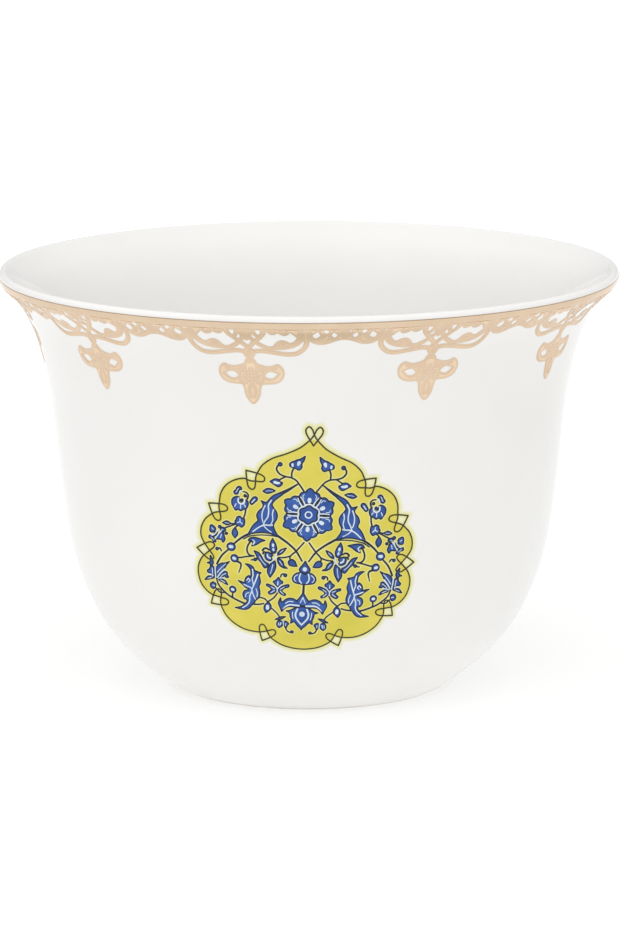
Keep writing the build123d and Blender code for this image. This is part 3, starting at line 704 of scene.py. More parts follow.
LIGHTS = [
    # palmette vein 1
    (0.13, 0.1, [(4.28, 1.42), (4.58, 0.8), (4.52, 0.1), (4.58, -0.6), (4.86, -1.1), (5.06, -1.6)]),
    # palmette vein 2
    (0.11, 0.09, [(4.96, 0.72), (5.22, 0), (5.26, -0.7), (5.12, -1.3)]),
    # palmette vein 3
    (0.11, 0.09, [(3.96, 0.36), (4.08, -0.2), (4, -0.9), (4.18, -1.46)]),
    # palmette vein 4
    (0.14, 0.1, [(3.92, -1.54), (4.4, -1.62), (4.94, -1.64), (5.54, -1.96), (6.24, -2.58)]),
    # palmette vein 5
    (0.09, 0.08, [(5, -1.74), (4.64, -2.1), (4.1, -2.42)]),
    # top bud light
    (0.3, 0.2, [(1.44, 6.18), (1.52, 5.92)]),
    # top bud light 2
    (0.2, 0.16, [(2.16, 5.94), (2.14, 5.72)]),
    # bell light
    (0.26, 0.18, [(4, 3.62), (3.74, 3.56), (3.52, 3.58)]),
    # leaf light
    (0.045, 0.04, [(4.18, 2.58), (4.6, 2.54), (4.98, 2.46)]),
    # small leaf light
    (0.045, 0.04, [(9.08, -1.92), (9.6, -1.92)]),
    # pansy ear light 1
    (0.07, 0.06, [(8.1, 2.44), (8.36, 1.94)]),
    # pansy ear light 2
    (0.1, 0.09, [(6.18, 1.34), (6.48, 0.94)]),
    # pansy skirt rib 1
    (0.09, 0.08, [(8.3, 0.56), (8.48, 0.2)]),
    # pansy skirt rib 2
    (0.09, 0.08, [(7.78, 0.44), (7.78, 0.06)]),
    # pansy skirt rib 3
    (0.09, 0.08, [(7.34, 0.54), (7.2, 0.3)]),
    # small flower light
    (0.1, 0.07, [(7.78, -1.56), (7.8, -1.2)]),
    # small flower light 2
    (0.1, 0.07, [(7.78, -1.56), (8.1, -1.72)]),
    # small flower light 3
    (0.1, 0.07, [(7.78, -1.56), (7.5, -1.8)]),
    # outer petal light 1
    (0.07, 0.06, [(10.98, -2.92), (11.2, -2.76)]),
    # outer petal light 2
    (0.07, 0.06, [(9.82, -2.78), (10, -2.82)]),
    # outer petal light 3
    (0.08, 0.07, [(9.96, -3.4), (10.1, -3.84)]),
    # outer petal light 4
    (0.06, 0.06, [(11.24, -3.92), (10.9, -4.22)]),
    # bulb light
    (0.3, 0.26, [(8.88, -4.74), (8.66, -4.74)]),
    # star petal light
    (0.22, 0.18, [(3.84, -3.92), (3.82, -4.12)]),
    # star petal light 2
    (0.18, 0.16, [(3.78, -4.46), (3.74, -4.6)]),
    # star petal light 3
    (0.06, 0.05, [(2.96, -4.8), (2.6, -4.46)]),
    # star petal light 4
    (0.06, 0.05, [(3, -5.84), (2.66, -6.34)]),
    # star petal light 5
    (0.08, 0.055, [(3.76, -6.36), (3.86, -7), (4, -7.5)]),
    # star swirl light
    (0.16, 0.12, [(4.04, -5.62), (4.36, -5.5), (4.44, -5.18)]),
    # star leaf light
    (0.075, 0.06, [(4.6, -6.5), (5.02, -6.1), (5.38, -5.56)]),
    # ball light
    (0.26, 0.24, [(8.44, -6.1), (8.28, -6.16)]),
    # saz vein 1
    (0.13, 0.1, [(5.48, -7.78), (5.74, -8.6), (5.96, -9.2), (6.16, -9.8), (6, -10.4), (5.74, -10.96)]),
    # saz vein 2
    (0.11, 0.09, [(6.14, -7.2), (6.06, -7.9), (6.16, -8.4), (6.04, -8.86), (5.98, -9.2)]),
    # saz vein 3
    (0.13, 0.1, [(6.14, -9.9), (6.42, -10.6), (6.46, -11.3), (6.8, -11.86), (7.34, -12.26)]),
    # saz vein 4
    (0.12, 0.1, [(7.14, -9.22), (6.72, -9.4), (6.34, -9.52), (6.16, -9.72)]),
    # saz vein 5
    (0.1, 0.08, [(6.8, -8.64), (6.6, -8.4), (6.42, -8.66), (6.6, -8.86)]),
    # saz vein 6
    (0.09, 0.08, [(5.54, -10.6), (5.5, -10.14), (5.66, -9.6)]),
    # saz vein 7
    (0.09, 0.08, [(6.54, -10.2), (6.88, -10.4), (6.94, -10.8)]),
    # side leaf rib
    (0.08, 0.06, [(10.46, -8.16), (9.96, -7.52), (9.4, -6.96)]),
    # side petal light
    (0.07, 0.06, [(9.4, -8.16), (9.74, -8.36), (10.04, -8.66)]),
    # side petal light 2
    (0.07, 0.06, [(9.54, -9.28), (10.04, -9.04)]),
    # side petal light 3
    (0.08, 0.06, [(11.1, -7.72), (11.06, -8.3), (11.1, -8.8)]),
    # side petal light 4
    (0.07, 0.06, [(11.24, -8.94), (11.7, -9.1)]),
    # second side light
    (0.1, 0.09, [(11.06, -9.86), (10.82, -9.92)]),
    # side curl light
    (0.26, 0.24, [(8.6, -10.05), (8.48, -10.07)]),
    # blossom rib 1
    (0.1, 0.08, [(3.08, -8.84), (3.06, -8.42)]),
    # blossom rib 2
    (0.08, 0.06, [(3.46, -9.34), (3.84, -9.14)]),
    # blossom rib 3
    (0.08, 0.06, [(2.72, -9.34), (2.28, -9.04)]),
    # blossom rib 4
    (0.08, 0.06, [(3.46, -9.6), (3.88, -9.92)]),
    # blossom rib 5
    (0.08, 0.06, [(2.74, -9.6), (2.38, -9.96)]),
    # tear light
    (0.3, 0.3, [(4.24, -11.72), (4.24, -11.98)]),
    # bottom flower light
    (0.12, 0.1, [(2.56, -13.8), (2.68, -14.14)]),
    # bottom flower light 2
    (0.07, 0.07, [(1.94, -13.8), (1.96, -14.16)]),
    # bottom flower light 3
    (0.07, 0.07, [(2.84, -13.8), (2.88, -14.16)]),
]
WHITES = [
    # pansy eye
    (0.17, 0.15, [(7.34, 1.12), (7.42, 0.74), (7.78, 0.62), (8.08, 0.88), (8.04, 1.28)]),
    # trumpet throat
    (0.16, 0.11, [(6.16, -4.12), (6, -3.82), (6.22, -3.6)]),
    # star heart
    (0.15, 0.1, [(3.4, -5.02), (3.46, -5.42), (3.36, -5.86)]),
    # star heart, lower
    (0.12, 0.09, [(3.56, -5.48), (3.9, -6.02), (4.24, -6.14), (4.58, -6), (4.88, -5.66), (4.98, -5.24)]),
    # outer blossom heart
    (0.13, 0.1, [(10, -2.98), (10.28, -3.32), (10.56, -3.74), (10.74, -4.06)]),
    # outer blossom heart, cross
    (0.12, 0.1, [(10.34, -2.86), (10.76, -3.4), (11.08, -3.66), (11.36, -3.52)]),
    # side flower heart
    (0.15, 0.12, [(10.72, -7.4), (10.72, -8.1), (10.66, -8.84)]),
    # side flower heart, inner
    (0.17, 0.13, [(9.56, -7.66), (10.06, -8.2), (10.46, -8.8)]),
    # blossom gap 1
    (0.13, 0.1, [(2.6, -8.78), (2.86, -9.04), (3.06, -9.3)]),
    # blossom gap 2
    (0.13, 0.1, [(3.48, -8.9), (3.26, -9.12), (3.1, -9.4)]),
    # blossom gap 3
    (0.12, 0.1, [(3.1, -9.38), (3.12, -9.76)]),
    # bottom flower gap
    (0.12, 0.1, [(2.34, -13.4), (2.24, -13.76), (2.24, -14.1)]),
    # side flower gap 1
    (0.13, 0.1, [(9.5, -8.74), (9.96, -8.78), (10.32, -8.9)]),
    # side flower gap 2
    (0.13, 0.1, [(11.66, -8.54), (11.28, -8.54), (11, -8.66)]),
    # pansy ear gap
    (0.15, 0.12, [(7.78, 2.18), (7.94, 1.98), (7.98, 1.72)]),
]
RINGS = [(8.34, -6.12, 0.43), (8.54, -10.06, 0.39)]
BALLS = [(3.52, 5.82, 0.2), (7.3, 1.64, 0.13), (7.66, 1.06, 0.15), (2.24, -7.57, 0.17), (1.14, -14.97, 0.16), (10.5, -5.24, 0.15), (5.86, -5.98, 0.15), (10.2, -2.5, 0.16), (9.38, -3.2, 0.13)]

# ---------------------------------------------------------------- the medallion's flat drawing

MED_R, MED_U0, MED_S0, MED_TILT = 29.5, -0.10, 25.16, math.radians(3.9)
SPREAD = 14.42  # half width of the sheet the right half is drawn on


def mirror(points):
    return [(-q[0], *q[1:]) for q in points]


# heart shaped knots of the contour: where its lines cross, and outward direction
KNOTS = [
    ((6.19, 3.53), (0.695, 0.719)), ((10.24, -0.67), (0.85, 0.527)), ((11.44, -5.60), (0.998, 0.066)),
    ((10.09, -11.33), (0.81, -0.588)), ((4.32, -15.14), (0.414, -0.91)),
]
# bulge of each lobe between one knot and the next, from the top down
LOBES = [
    [(0.70, 8.66), (1.50, 7.92), (2.92, 7.12), (4.42, 6.45), (5.42, 5.62), (5.84, 4.92)],
    [(7.55, 3.72), (8.70, 3.34), (9.62, 2.60), (10.16, 1.60), (10.30, 0.62)],
    [(11.25, -1.08), (12.0, -1.80), (12.48, -2.80), (12.54, -3.83), (12.20, -4.60)],
    [(12.42, -6.60), (12.85, -7.55), (12.93, -8.60), (12.64, -9.75), (11.98, -10.62), (11.12, -11.16)],
    [(10.04, -12.60), (9.46, -13.72), (8.40, -14.68), (7.05, -15.28), (5.62, -15.42)],
    [(3.70, -16.20), (2.58, -16.90), (1.33, -17.27), (0.0, -17.40)],
]


def at_knot(k, a, b):
    (x, y), (ox, oy) = KNOTS[k]
    size = math.hypot(ox, oy)
    ox, oy = ox / size, oy / size
    return (x + a * oy + b * ox, y - a * ox + b * oy)


# from the tip of a knot round one loop, through the crossing and on towards the lobe on its other side
LOOP = [(0.0, 1.62), (-0.40, 1.12), (-0.80, 0.55), (-1.06, 0.06), (-1.06, -0.36), (-0.78, -0.58), (-0.42, -0.42), (0.0, 0.0), (0.46, 0.42)]


def leaving(k):
    return [at_knot(k, a, b) for a, b in LOOP]


def arriving(k):
    return [at_knot(k, -a, b) for a, b in LOOP][::-1]


TOP_KNOT = [(0.0, 8.30), (-0.46, 9.02), (-0.86, 9.70), (-0.93, 10.22), (-0.62, 10.58), (-0.24, 10.26), (0.0, 9.63), (0.30, 9.12)]
contour_lines = [TOP_KNOT + LOBES[0] + arriving(0)]
for number in range(1, 5):
    contour_lines.append(leaving(number - 1) + LOBES[number] + arriving(number))
contour_lines.append(leaving(4) + LOBES[5] + mirror(LOBES[5][:-1])[::-1] + mirror(leaving(4))[::-1])
contour_lines = [flow(line) for line in contour_lines]

right_edge = [(0.0, 9.0, 1)] + LOBES[0]
for number in range(1, 6):
    right_edge += [(*at_knot(number - 1, 0.0, 0.0), 1)] + LOBES[number]
whole_edge = right_edge + mirror(right_edge[1:-1])[::-1]

sheet = Sheet(0.0, SPREAD, -19.6, 12.6, 0.035)
ground = sheet.blank()
# the whole ground is larger than one window's margin, so it is filled in one go
sheet.window = lambda lo, hi, margin=1.3: (slice(0, len(sheet.y)), slice(0, len(sheet.x)))
sheet.polygon(ground, flow(whole_edge, closed=True))
del sheet.window
line = sheet.blank()
for path in contour_lines:
    sheet.stroke(line, path, 0.172)
    sheet.stroke(line, path * (-1, 1), 0.172)
halo = np.minimum(ground - 0.62, line - 0.44)
for k in range(5):
    sheet.polygon(halo, flow([(*at_knot(k, -1.75, 0.75), 1), at_knot(k, -0.75, 1.35), (*at_knot(k, 0.0, 2.45), 1), at_knot(k, 0.75, 1.35),
                              (*at_knot(k, 1.75, 0.75), 1)], closed=True)[::-1])
sheet.polygon(halo, np.array([(-1.3, 10.2), (1.3, 10.2), (0.95, 11.25), (0.0, 11.0), (-0.95, 11.25)]))

motif, stems, light, white = sheet.blank(), sheet.blank(), sheet.blank(), sheet.blank()


def both(points):
    p = np.asarray(points)
    return (p, p * (-1, 1))


for outline in SHAPES:
    for p in both(flow(outline, closed=True)):
        sheet.polygon(motif, p)
for w0, w1, points in STEMS:
    for p in both(flow(points)):
        sheet.stroke(stems, p, w0 * 1.05, w1 * 1.05)
for w0, w1, points in LIGHTS:
    for p in both(flow(points)):
        sheet.stroke(light, p, w0 * 1.3, w1 * 1.3)
for w0, w1, points in WHITES:
    for p in both(flow(points)):
        sheet.stroke(white, p, w0 * 1.15, w1 * 1.15)
for x, y, r in RINGS:
    sheet.disc(motif, x, y, r)
    sheet.disc(light, x, y, r * 0.26)
for x, y, r in BALLS:
    sheet.disc(motif, x, y, r)

# rosette of six petals round the origin
PETAL = [(0.40, 1.38), (0.70, 1.60), (1.0, 1.98), (1.12, 2.32), (0.94, 2.60), (0.56, 2.74), (0.42, 2.72, 1), (0.38, 2.90), (0.20, 3.08), (0.0, 3.20, 1)]


def turned(points, degrees):
    a = math.radians(degrees)
    return [(x * math.cos(a) + y * math.sin(a), -x * math.sin(a) + y * math.cos(a), *c) for x, y, *c in points]


petal = PETAL + mirror(PETAL[:-1])[::-1]
for k in range(6):
    sheet.polygon(motif, flow(turned(petal, 60 * k), closed=True))
    sheet.stroke(light, flow(turned([(0.0, 1.62), (0.0, 1.84)], 60 * k)), 0.40, 0.46)
    for side in (-1, 1):
        sheet.stroke(light, flow(turned([(0.66 * side, 1.92), (0.78 * side, 2.22), (0.62 * side, 2.44)], 60 * k)), 0.09, 0.08)
        sheet.stroke(white, flow(turned([(0.20 * side, 1.26), (0.23 * side, 1.80), (0.18 * side, 2.32)], 60 * k + 30)), 0.16, 0.12)
    sheet.stroke(stems, flow(turned([(0.0, 1.36), (0.0, 1.85), (0.0, 2.46)], 60 * k + 30)), 0.26, 0.20)
turn = np.linspace(0, 2 * math.pi, 97)[:-1]
wavy = np.c_[np.sin(turn), np.cos(turn)]
sheet.polygon(motif, wavy * (1.03 + 0.09 * np.cos(6 * turn))[:, None])
sheet.stroke(white, np.vstack([wavy, wavy[:1]]) * (1.22 + 0.07 * np.cos(6 * np.r_[turn, 0.0]))[:, None], 0.17)
sheet.stroke(light, np.vstack([wavy, wavy[:1]]) * 0.37, 0.15)

# motifs on the middle line: bud, trefoil, stalk and lotus
CENTRE = [
    # bud
    [(0.0, -5.66, 1), (0.30, -6.18), (0.58, -6.56), (0.60, -6.84), (0.30, -7.06), (0.0, -7.12)],
    # bell
    [(0.0, -7.26), (0.44, -7.10), (0.94, -7.22), (1.30, -7.60), (1.36, -8.02), (1.12, -8.36), (0.60, -8.48), (0.0, -8.54)],
    # lotus, spike
    [(0.0, -9.62, 1), (0.26, -10.04), (0.52, -10.44), (0.74, -10.76), (0.50, -11.10), (0.0, -11.30)],
    # lotus, lower petals
    [(0.0, -11.42), (0.50, -11.52), (1.0, -11.72), (1.46, -12.0), (1.94, -12.14, 1), (1.52, -12.34), (1.44, -12.80), (1.30, -13.20), (1.34, -13.76, 1),
     (0.98, -13.52), (0.76, -13.68), (0.46, -14.06), (0.14, -14.34), (0.0, -14.60, 1)],
]
for outline in CENTRE:
    sheet.polygon(motif, flow(outline + mirror(outline[1:-1])[::-1], closed=True))
# lotus, wings
for p in both(flow([(0.30, -11.16), (0.62, -10.84), (0.98, -10.54), (1.50, -10.42), (2.02, -10.60), (2.34, -10.92), (2.58, -10.94), (2.68, -10.48, 1),
                    (2.90, -11.0), (2.84, -11.46), (2.64, -11.88), (2.50, -12.26, 1), (2.20, -11.86), (1.86, -11.60), (1.36, -11.50), (0.86, -11.52),
                    (0.34, -11.44)], closed=True)):
    sheet.polygon(motif, p)
sheet.stroke(stems, flow([(0.0, -8.50), (0.0, -9.10), (0.0, -9.80)]), 0.20, 0.24)
CENTRE_LIGHTS = [
    (0.17, 0.14, [(0.46, -7.22), (0.58, -7.70), (0.52, -8.10), (0.30, -8.38)]),
    (0.10, 0.09, [(0.80, -7.36), (1.12, -7.64), (1.16, -8.0), (0.96, -8.24)]),
    (0.22, 0.15, [(0.34, -11.30), (0.92, -11.28), (1.50, -11.26), (1.98, -11.50), (2.30, -11.86)]),
    (0.12, 0.10, [(1.18, -10.82), (1.66, -10.84), (2.06, -11.12)]),
    (0.14, 0.10, [(0.0, -10.20), (0.18, -10.62), (0.30, -10.92)]),
    (0.22, 0.20, [(0.58, -11.76), (0.78, -12.32), (0.74, -12.86), (0.42, -13.38), (0.0, -13.86)]),
    (0.10, 0.09, [(1.16, -12.18), (1.16, -12.66), (1.06, -13.10)]),
]
for w0, w1, points in CENTRE_LIGHTS:
    for p in both(flow(points)):
        sheet.stroke(light, p, w0, w1)
sheet.disc(light, 0.0, -6.64, 0.26)
sheet.disc(light, 0.0, -12.40, 0.34)

# pale line under the great arc
for p in both(flow([(2.95, -2.98), (4.10, -2.86), (5.30, -2.90), (6.55, -3.16), (7.30, -3.62)])):
    sheet.stroke(stems, p, 0.09, 0.09)

inside = ground + 0.16
print_ground = ground
print_reserve = np.maximum(np.minimum(motif, stems) - 0.20, inside)
print_line = line
print_ink = np.maximum(np.minimum(motif - 0.085, stems - 0.03), ground + 0.02)
print_blue = np.maximum(motif + 0.085, ground + 0.08)
print_light = np.minimum(np.maximum(np.minimum(light, 9.0), motif + 0.06), np.maximum(white, inside))


def to_medallion(xy):
    c, n = math.cos(MED_TILT), math.sin(MED_TILT)
    u = MED_U0 + xy[:, 0] * c + xy[:, 1] * n
    v = -xy[:, 0] * n + xy[:, 1] * c
    return u / MED_R, MED_S0 - v, ((c, -n), (n, c))


# ---------------------------------------------------------------- the gold lace's flat drawing, half of one repeat

LACE_R, REPEATS, REPEAT_0 = 34.0, 10, math.radians(-11.5)
HALF = LACE_R * math.pi / REPEATS
lace_sheet = Sheet(0.0, HALF, -12.4, -0.4, HALF / 267)
lace = lace_sheet.blank()


def around(points):
    """The drawing, its mirror image and the neighbour's across the joint."""
    p = np.asarray(points)
    return (*both(p), p * (-1, 1) + (2 * HALF, 0))


def strap(points, w0, w1=None, over=0.0):
    for p in around(flow(points)):
        lace_sheet.stroke(lace, p, w0, w1, over)


def leaf(points):
    for p in around(flow(points, closed=True)):
        lace_sheet.polygon(lace, p)


def slit(points, w0, w1=None):
    """A fine line left open in the gold."""
    gap = lace_sheet.blank()
    for p in around(flow(points)):
        lace_sheet.stroke(gap, p, w0, w1)
    np.maximum(lace, -gap, out=lace)


def eye(x, y, rx, ry, lean=0.0):
    """An almond shaped opening."""
    c, k = math.cos(math.radians(lean)), math.sin(math.radians(lean))
    almond = [(-rx, 0.0, 1), (-rx * 0.5, ry * 0.85), (rx * 0.1, ry), (rx, 0.0, 1), (rx * 0.1, -ry), (-rx * 0.5, -ry * 0.85)]
    gap = lace_sheet.blank()
    for p in around(flow([(x + p[0] * c - p[1] * k, y + p[0] * k + p[1] * c, *p[2:]) for p in almond], closed=True)):
        lace_sheet.polygon(gap, p)
    np.maximum(lace, -gap, out=lace)


# leaf arm of the festoon, with its veins
leaf([(1.05, -3.45), (1.70, -3.86), (2.35, -4.12), (2.86, -4.02), (3.10, -3.62), (3.45, -3.18), (3.85, -3.02), (4.30, -3.15), (4.66, -3.46),
      (5.02, -3.40), (5.36, -3.02), (5.60, -2.40), (5.72, -1.60), (5.74, -0.80, 1), (6.40, -0.80, 1), (6.34, -1.80), (6.22, -2.80), (5.86, -3.50),
      (5.36, -3.98), (4.70, -4.28), (3.90, -4.46), (3.0, -4.48), (2.10, -4.42), (1.50, -4.16)])
slit([(2.60, -4.26), (3.40, -4.14), (4.20, -3.92), (4.90, -3.78), (5.46, -3.36), (5.80, -2.66), (5.98, -1.80)], 0.10, 0.08)
slit([(3.30, -3.78), (3.72, -3.46), (4.12, -3.52)], 0.09, 0.07)
# rail with its lumps
leaf([(2.30, -0.70, 1), (2.46, -1.34), (2.84, -1.74), (3.24, -1.62), (3.50, -1.36), (3.86, -1.74), (4.30, -1.90), (4.60, -1.62), (4.84, -1.30),
      (5.16, -1.70), (5.52, -2.25, 1), (5.78, -1.50), (5.85, -0.70, 1)])
slit([(2.62, -1.02), (2.90, -1.36), (3.22, -1.20)], 0.09, 0.07)
slit([(3.78, -1.04), (4.14, -1.46), (4.48, -1.14)], 0.09, 0.07)
# scallop between two festoons
leaf([(6.30, -0.70, 1), (6.62, -2.40), (7.06, -3.16), (7.68, -3.56), (8.30, -3.64), (8.92, -3.48), (9.50, -3.16), (10.10, -2.88), (10.80, -2.74, 1),
      (10.80, -0.70, 1)])
eye(7.64, -1.86, 0.82, 0.46, 78.0)
eye(9.54, -1.84, 0.70, 0.36, 98.0)
slit([(6.92, -1.0), (6.96, -2.0), (7.34, -2.86), (8.08, -3.24), (8.74, -3.06), (9.06, -2.55)], 0.10)
slit([(8.46, -0.86), (8.58, -1.62), (8.42, -2.36), (8.02, -2.86)], 0.12, 0.09)
slit([(8.86, -1.10), (9.02, -1.90), (9.34, -2.72), (10.0, -2.62)], 0.09)
slit([(10.06, -0.90), (10.12, -1.60), (10.36, -2.06), (10.80, -2.34)], 0.12, 0.10)
slit([(10.42, -0.86), (10.52, -1.30), (10.80, -1.62)], 0.10)
# lower strap of the festoon
strap([(0.20, -5.06), (0.95, -4.80), (1.70, -4.78), (2.90, -4.98), (4.30, -5.22), (5.36, -5.12), (6.08, -4.60), (6.50, -3.80), (6.56, -2.90),
       (6.46, -2.0), (6.42, -0.80)], 0.50, 0.44, 0.09)
# middle: blob, ribbon loops, stems of the leaf arms and the two long straps that cross above the neck
leaf([(0.0, -0.80, 1), (0.52, -1.10), (0.62, -1.85), (0.36, -2.55), (0.0, -3.02, 1), (-0.36, -2.55), (-0.62, -1.85), (-0.52, -1.10)])
slit([(0.30, -0.95), (0.0, -1.40), (-0.30, -0.95)], 0.13)
strap([(0.88, -0.80), (0.94, -1.42), (1.14, -2.0), (1.46, -2.42)], 0.34, None, 0.08)
strap([(-0.62, -0.95), (-0.24, -1.58), (0.24, -2.28), (0.74, -3.02), (1.24, -3.66), (1.86, -4.12)], 0.42, 0.46, 0.09)
leaf([(0.0, -5.75, 1), (0.42, -6.10), (0.46, -6.60), (0.0, -7.10), (-0.46, -6.60), (-0.42, -6.10)])
strap([(2.02, -0.80), (1.88, -1.68), (1.38, -2.58), (0.80, -3.30), (0.30, -3.94), (0.0, -4.34), (-0.40, -4.88), (-0.34, -5.40), (0.0, -5.85), (0.40, -6.34)],
      0.46, 0.42, 0.09)
# pendant
leaf([(0.30, -6.30), (0.90, -6.72), (1.75, -7.0), (2.50, -6.98), (3.12, -6.72), (3.56, -6.98), (3.86, -7.55), (3.82, -8.26), (3.42, -8.88), (2.70, -9.20),
      (1.90, -9.26), (1.22, -9.36), (0.98, -9.90), (0.86, -10.70), (0.50, -11.40), (0.0, -11.80), (-0.50, -11.40), (-0.86, -10.70), (-0.98, -9.90),
      (-1.22, -9.36), (-1.90, -9.26), (-2.70, -9.20), (-3.42, -8.88), (-3.82, -8.26), (-3.86, -7.55), (-3.56, -6.98), (-3.12, -6.72), (-2.50, -6.98),
      (-1.75, -7.0), (-0.90, -6.72), (-0.30, -6.30)])
eye(2.40, -8.12, 0.94, 0.50, 12.0)
slit([(0.72, -6.98), (1.24, -7.50), (1.46, -8.20), (1.30, -8.90), (1.0, -9.30)], 0.11, 0.09)
slit([(1.50, -7.30), (2.20, -7.34), (2.90, -7.16)], 0.10, 0.08)
for x, y in ((0.0, -7.42), (0.40, -7.84), (0.0, -8.26), (0.40, -8.68), (0.80, -8.26), (0.82, -7.46), (0.0, -9.08), (0.80, -9.02)):
    eye(x, y, 0.19, 0.17, 45.0)
slit([(0.26, -9.62), (0.40, -10.20), (0.24, -10.90)], 0.13, 0.09)
# the rail the border hangs from, tucked under the plain band
lace_sheet.polygon(lace, np.array([(-2.0, -0.60), (-2.0, -0.90), (13.0, -0.90), (13.0, -0.60)]))
lace_back, lace_fill = lace - 0.085, lace + 0.185


def to_border(number):
    turn0 = REPEAT_0 + 2 * math.pi / REPEATS * number

    def spread(xy):
        return turn0 + xy[:, 0] / LACE_R, -xy[:, 1], ((1.0, 0.0), (0.0, 1.0))

    return spread


# ---------------------------------------------------------------- finishes


def shader(name):
    material = bpy.data.materials.new(name)
    material.use_nodes = True
    tree = material.node_tree
    return material, tree, tree.nodes["Principled BSDF"]


def noise(tree, scale, detail=4.0, rough=0.5, seed=(0.0, 0.0, 0.0)):
    where = tree.nodes.new("ShaderNodeTexCoord")
    move = tree.nodes.new("ShaderNodeMapping")
    move.inputs["Location"].default_value = seed
    tex = tree.nodes.new("ShaderNodeTexNoise")
    tex.inputs["Scale"].default_value = scale
    tex.inputs["Detail"].default_value = detail
    tex.inputs["Roughness"].default_value = rough
    tree.links.new(where.outputs["Object"], move.inputs["Vector"])
    tree.links.new(move.outputs["Vector"], tex.inputs["Vector"])
    return tex.outputs["Fac"]


def ramp(tree, fac, stops):
    node = tree.nodes.new("ShaderNodeValToRGB")
    node.color_ramp.elements[0].position, node.color_ramp.elements[0].color = stops[0][0], (*stops[0][1], 1.0)
    node.color_ramp.elements[1].position, node.color_ramp.elements[1].color = stops[-1][0], (*stops[-1][1], 1.0)
    for place, colour in stops[1:-1]:
        node.color_ramp.elements.new(place).color = (*colour, 1.0)
    tree.links.new(fac, node.inputs["Fac"])
    return node.outputs["Color"]


def span(tree, value, lo, hi, to_lo, to_hi):
    node = tree.nodes.new("ShaderNodeMapRange")
    for socket, number in zip(("From Min", "From Max", "To Min", "To Max"), (lo, hi, to_lo, to_hi)):
        node.inputs[socket].default_value = number
    tree.links.new(value, node.inputs["Value"])
    return node.outputs["Result"]


def bump(tree, bsdf, height, strength, distance):
    node = tree.nodes.new("ShaderNodeBump")
    node.inputs["Strength"].default_value = strength
    node.inputs["Distance"].default_value = distance
    tree.links.new(height, node.inputs["Height"])
    tree.links.new(node.outputs["Normal"], bsdf.inputs["Normal"])


def glazed(name, dark, pale, scale, rough=(0.05, 0.09), specular=0.5, seed=(0.0, 0.0, 0.0), ripple=0.02):
    material, tree, bsdf = shader(name)
    tree.links.new(ramp(tree, noise(tree, scale, seed=seed), [(0.32, dark), (0.68, pale)]), bsdf.inputs["Base Color"])
    tree.links.new(span(tree, noise(tree, 900.0, 2.0, seed=seed), 0.3, 0.7, *rough), bsdf.inputs["Roughness"])
    bsdf.inputs["IOR"].default_value = 1.5
    bsdf.inputs["Specular IOR Level"].default_value = specular
    if ripple:
        bump(tree, bsdf, noise(tree, 260.0, 2.0, seed=seed), ripple, 0.0004)
    return material


GLAZE = glazed("porcelain_glaze", (0.880, 0.872, 0.856), (0.900, 0.894, 0.880), 70.0, (0.04, 0.07), 0.5, ripple=0.012)
WELL_GLAZE = glazed("well_glaze", (0.82, 0.815, 0.80), (0.85, 0.845, 0.83), 90.0, (0.05, 0.10), 0.5, (3.0, 1.0, 0.0), 0.02)

BISQUE, tree, bsdf = shader("bare_porcelain")
tree.links.new(ramp(tree, noise(tree, 420.0, 6.0, 0.65), [(0.3, (0.70, 0.67, 0.62)), (0.7, (0.82, 0.80, 0.76))]), bsdf.inputs["Base Color"])
bsdf.inputs["Roughness"].default_value = 0.82
bump(tree, bsdf, noise(tree, 2600.0, 4.0, 0.7), 0.35, 0.0001)


def gilded(name, dark, pale, rough, seed):
    material, tree, bsdf = shader(name)
    tree.links.new(ramp(tree, noise(tree, 300.0, 5.0, 0.6, seed), [(0.30, dark), (0.70, pale)]), bsdf.inputs["Base Color"])
    tree.links.new(span(tree, noise(tree, 1500.0, 3.0, seed=seed), 0.3, 0.7, *rough), bsdf.inputs["Roughness"])
    bsdf.inputs["Metallic"].default_value = 1.0
    bump(tree, bsdf, noise(tree, 1200.0, 3.0, seed=seed), 0.05, 0.0001)
    return material


GOLD = gilded("bright_gold", (0.685, 0.525, 0.373), (0.74, 0.58, 0.425), (0.07, 0.12), (0.0, 2.0, 5.0))
GOLD_LINE = gilded("bright_gold_line", (0.68, 0.52, 0.37), (0.76, 0.585, 0.425), (0.30, 0.36), (1.0, 0.0, 7.0))
GOLD_SATIN = gilded("satin_gold", (0.80, 0.625, 0.455), (0.875, 0.70, 0.52), (0.42, 0.52), (3.0, 2.0, 8.0))

YELLOW = glazed("enamel_yellow", (0.67, 0.585, 0.072), (0.75, 0.65, 0.10), 240.0, (0.10, 0.16), 0.35, (5.0, 2.0, 1.0), 0.03)
PALE = glazed("enamel_pale_yellow", (0.74, 0.69, 0.20), (0.80, 0.76, 0.32), 260.0, (0.09, 0.14), 0.4, (2.0, 6.0, 1.0), 0.02)
INK = glazed("enamel_navy", (0.012, 0.017, 0.040), (0.020, 0.028, 0.065), 500.0, (0.12, 0.2), 0.25, (1.0, 4.0, 1.0), 0.03)
LINE = glazed("enamel_charcoal", (0.030, 0.034, 0.018), (0.055, 0.056, 0.030), 500.0, (0.12, 0.2), 0.25, (7.0, 4.0, 1.0), 0.03)
BLUE = glazed("enamel_cobalt", (0.020, 0.070, 0.29), (0.045, 0.125, 0.43), 420.0, (0.10, 0.18), 0.25, (4.0, 1.0, 3.0), 0.03)
WHITE = glazed("enamel_white", (0.56, 0.68, 0.80), (0.76, 0.83, 0.90), 600.0, (0.08, 0.14), 0.4, (9.0, 1.0, 2.0), 0.02)

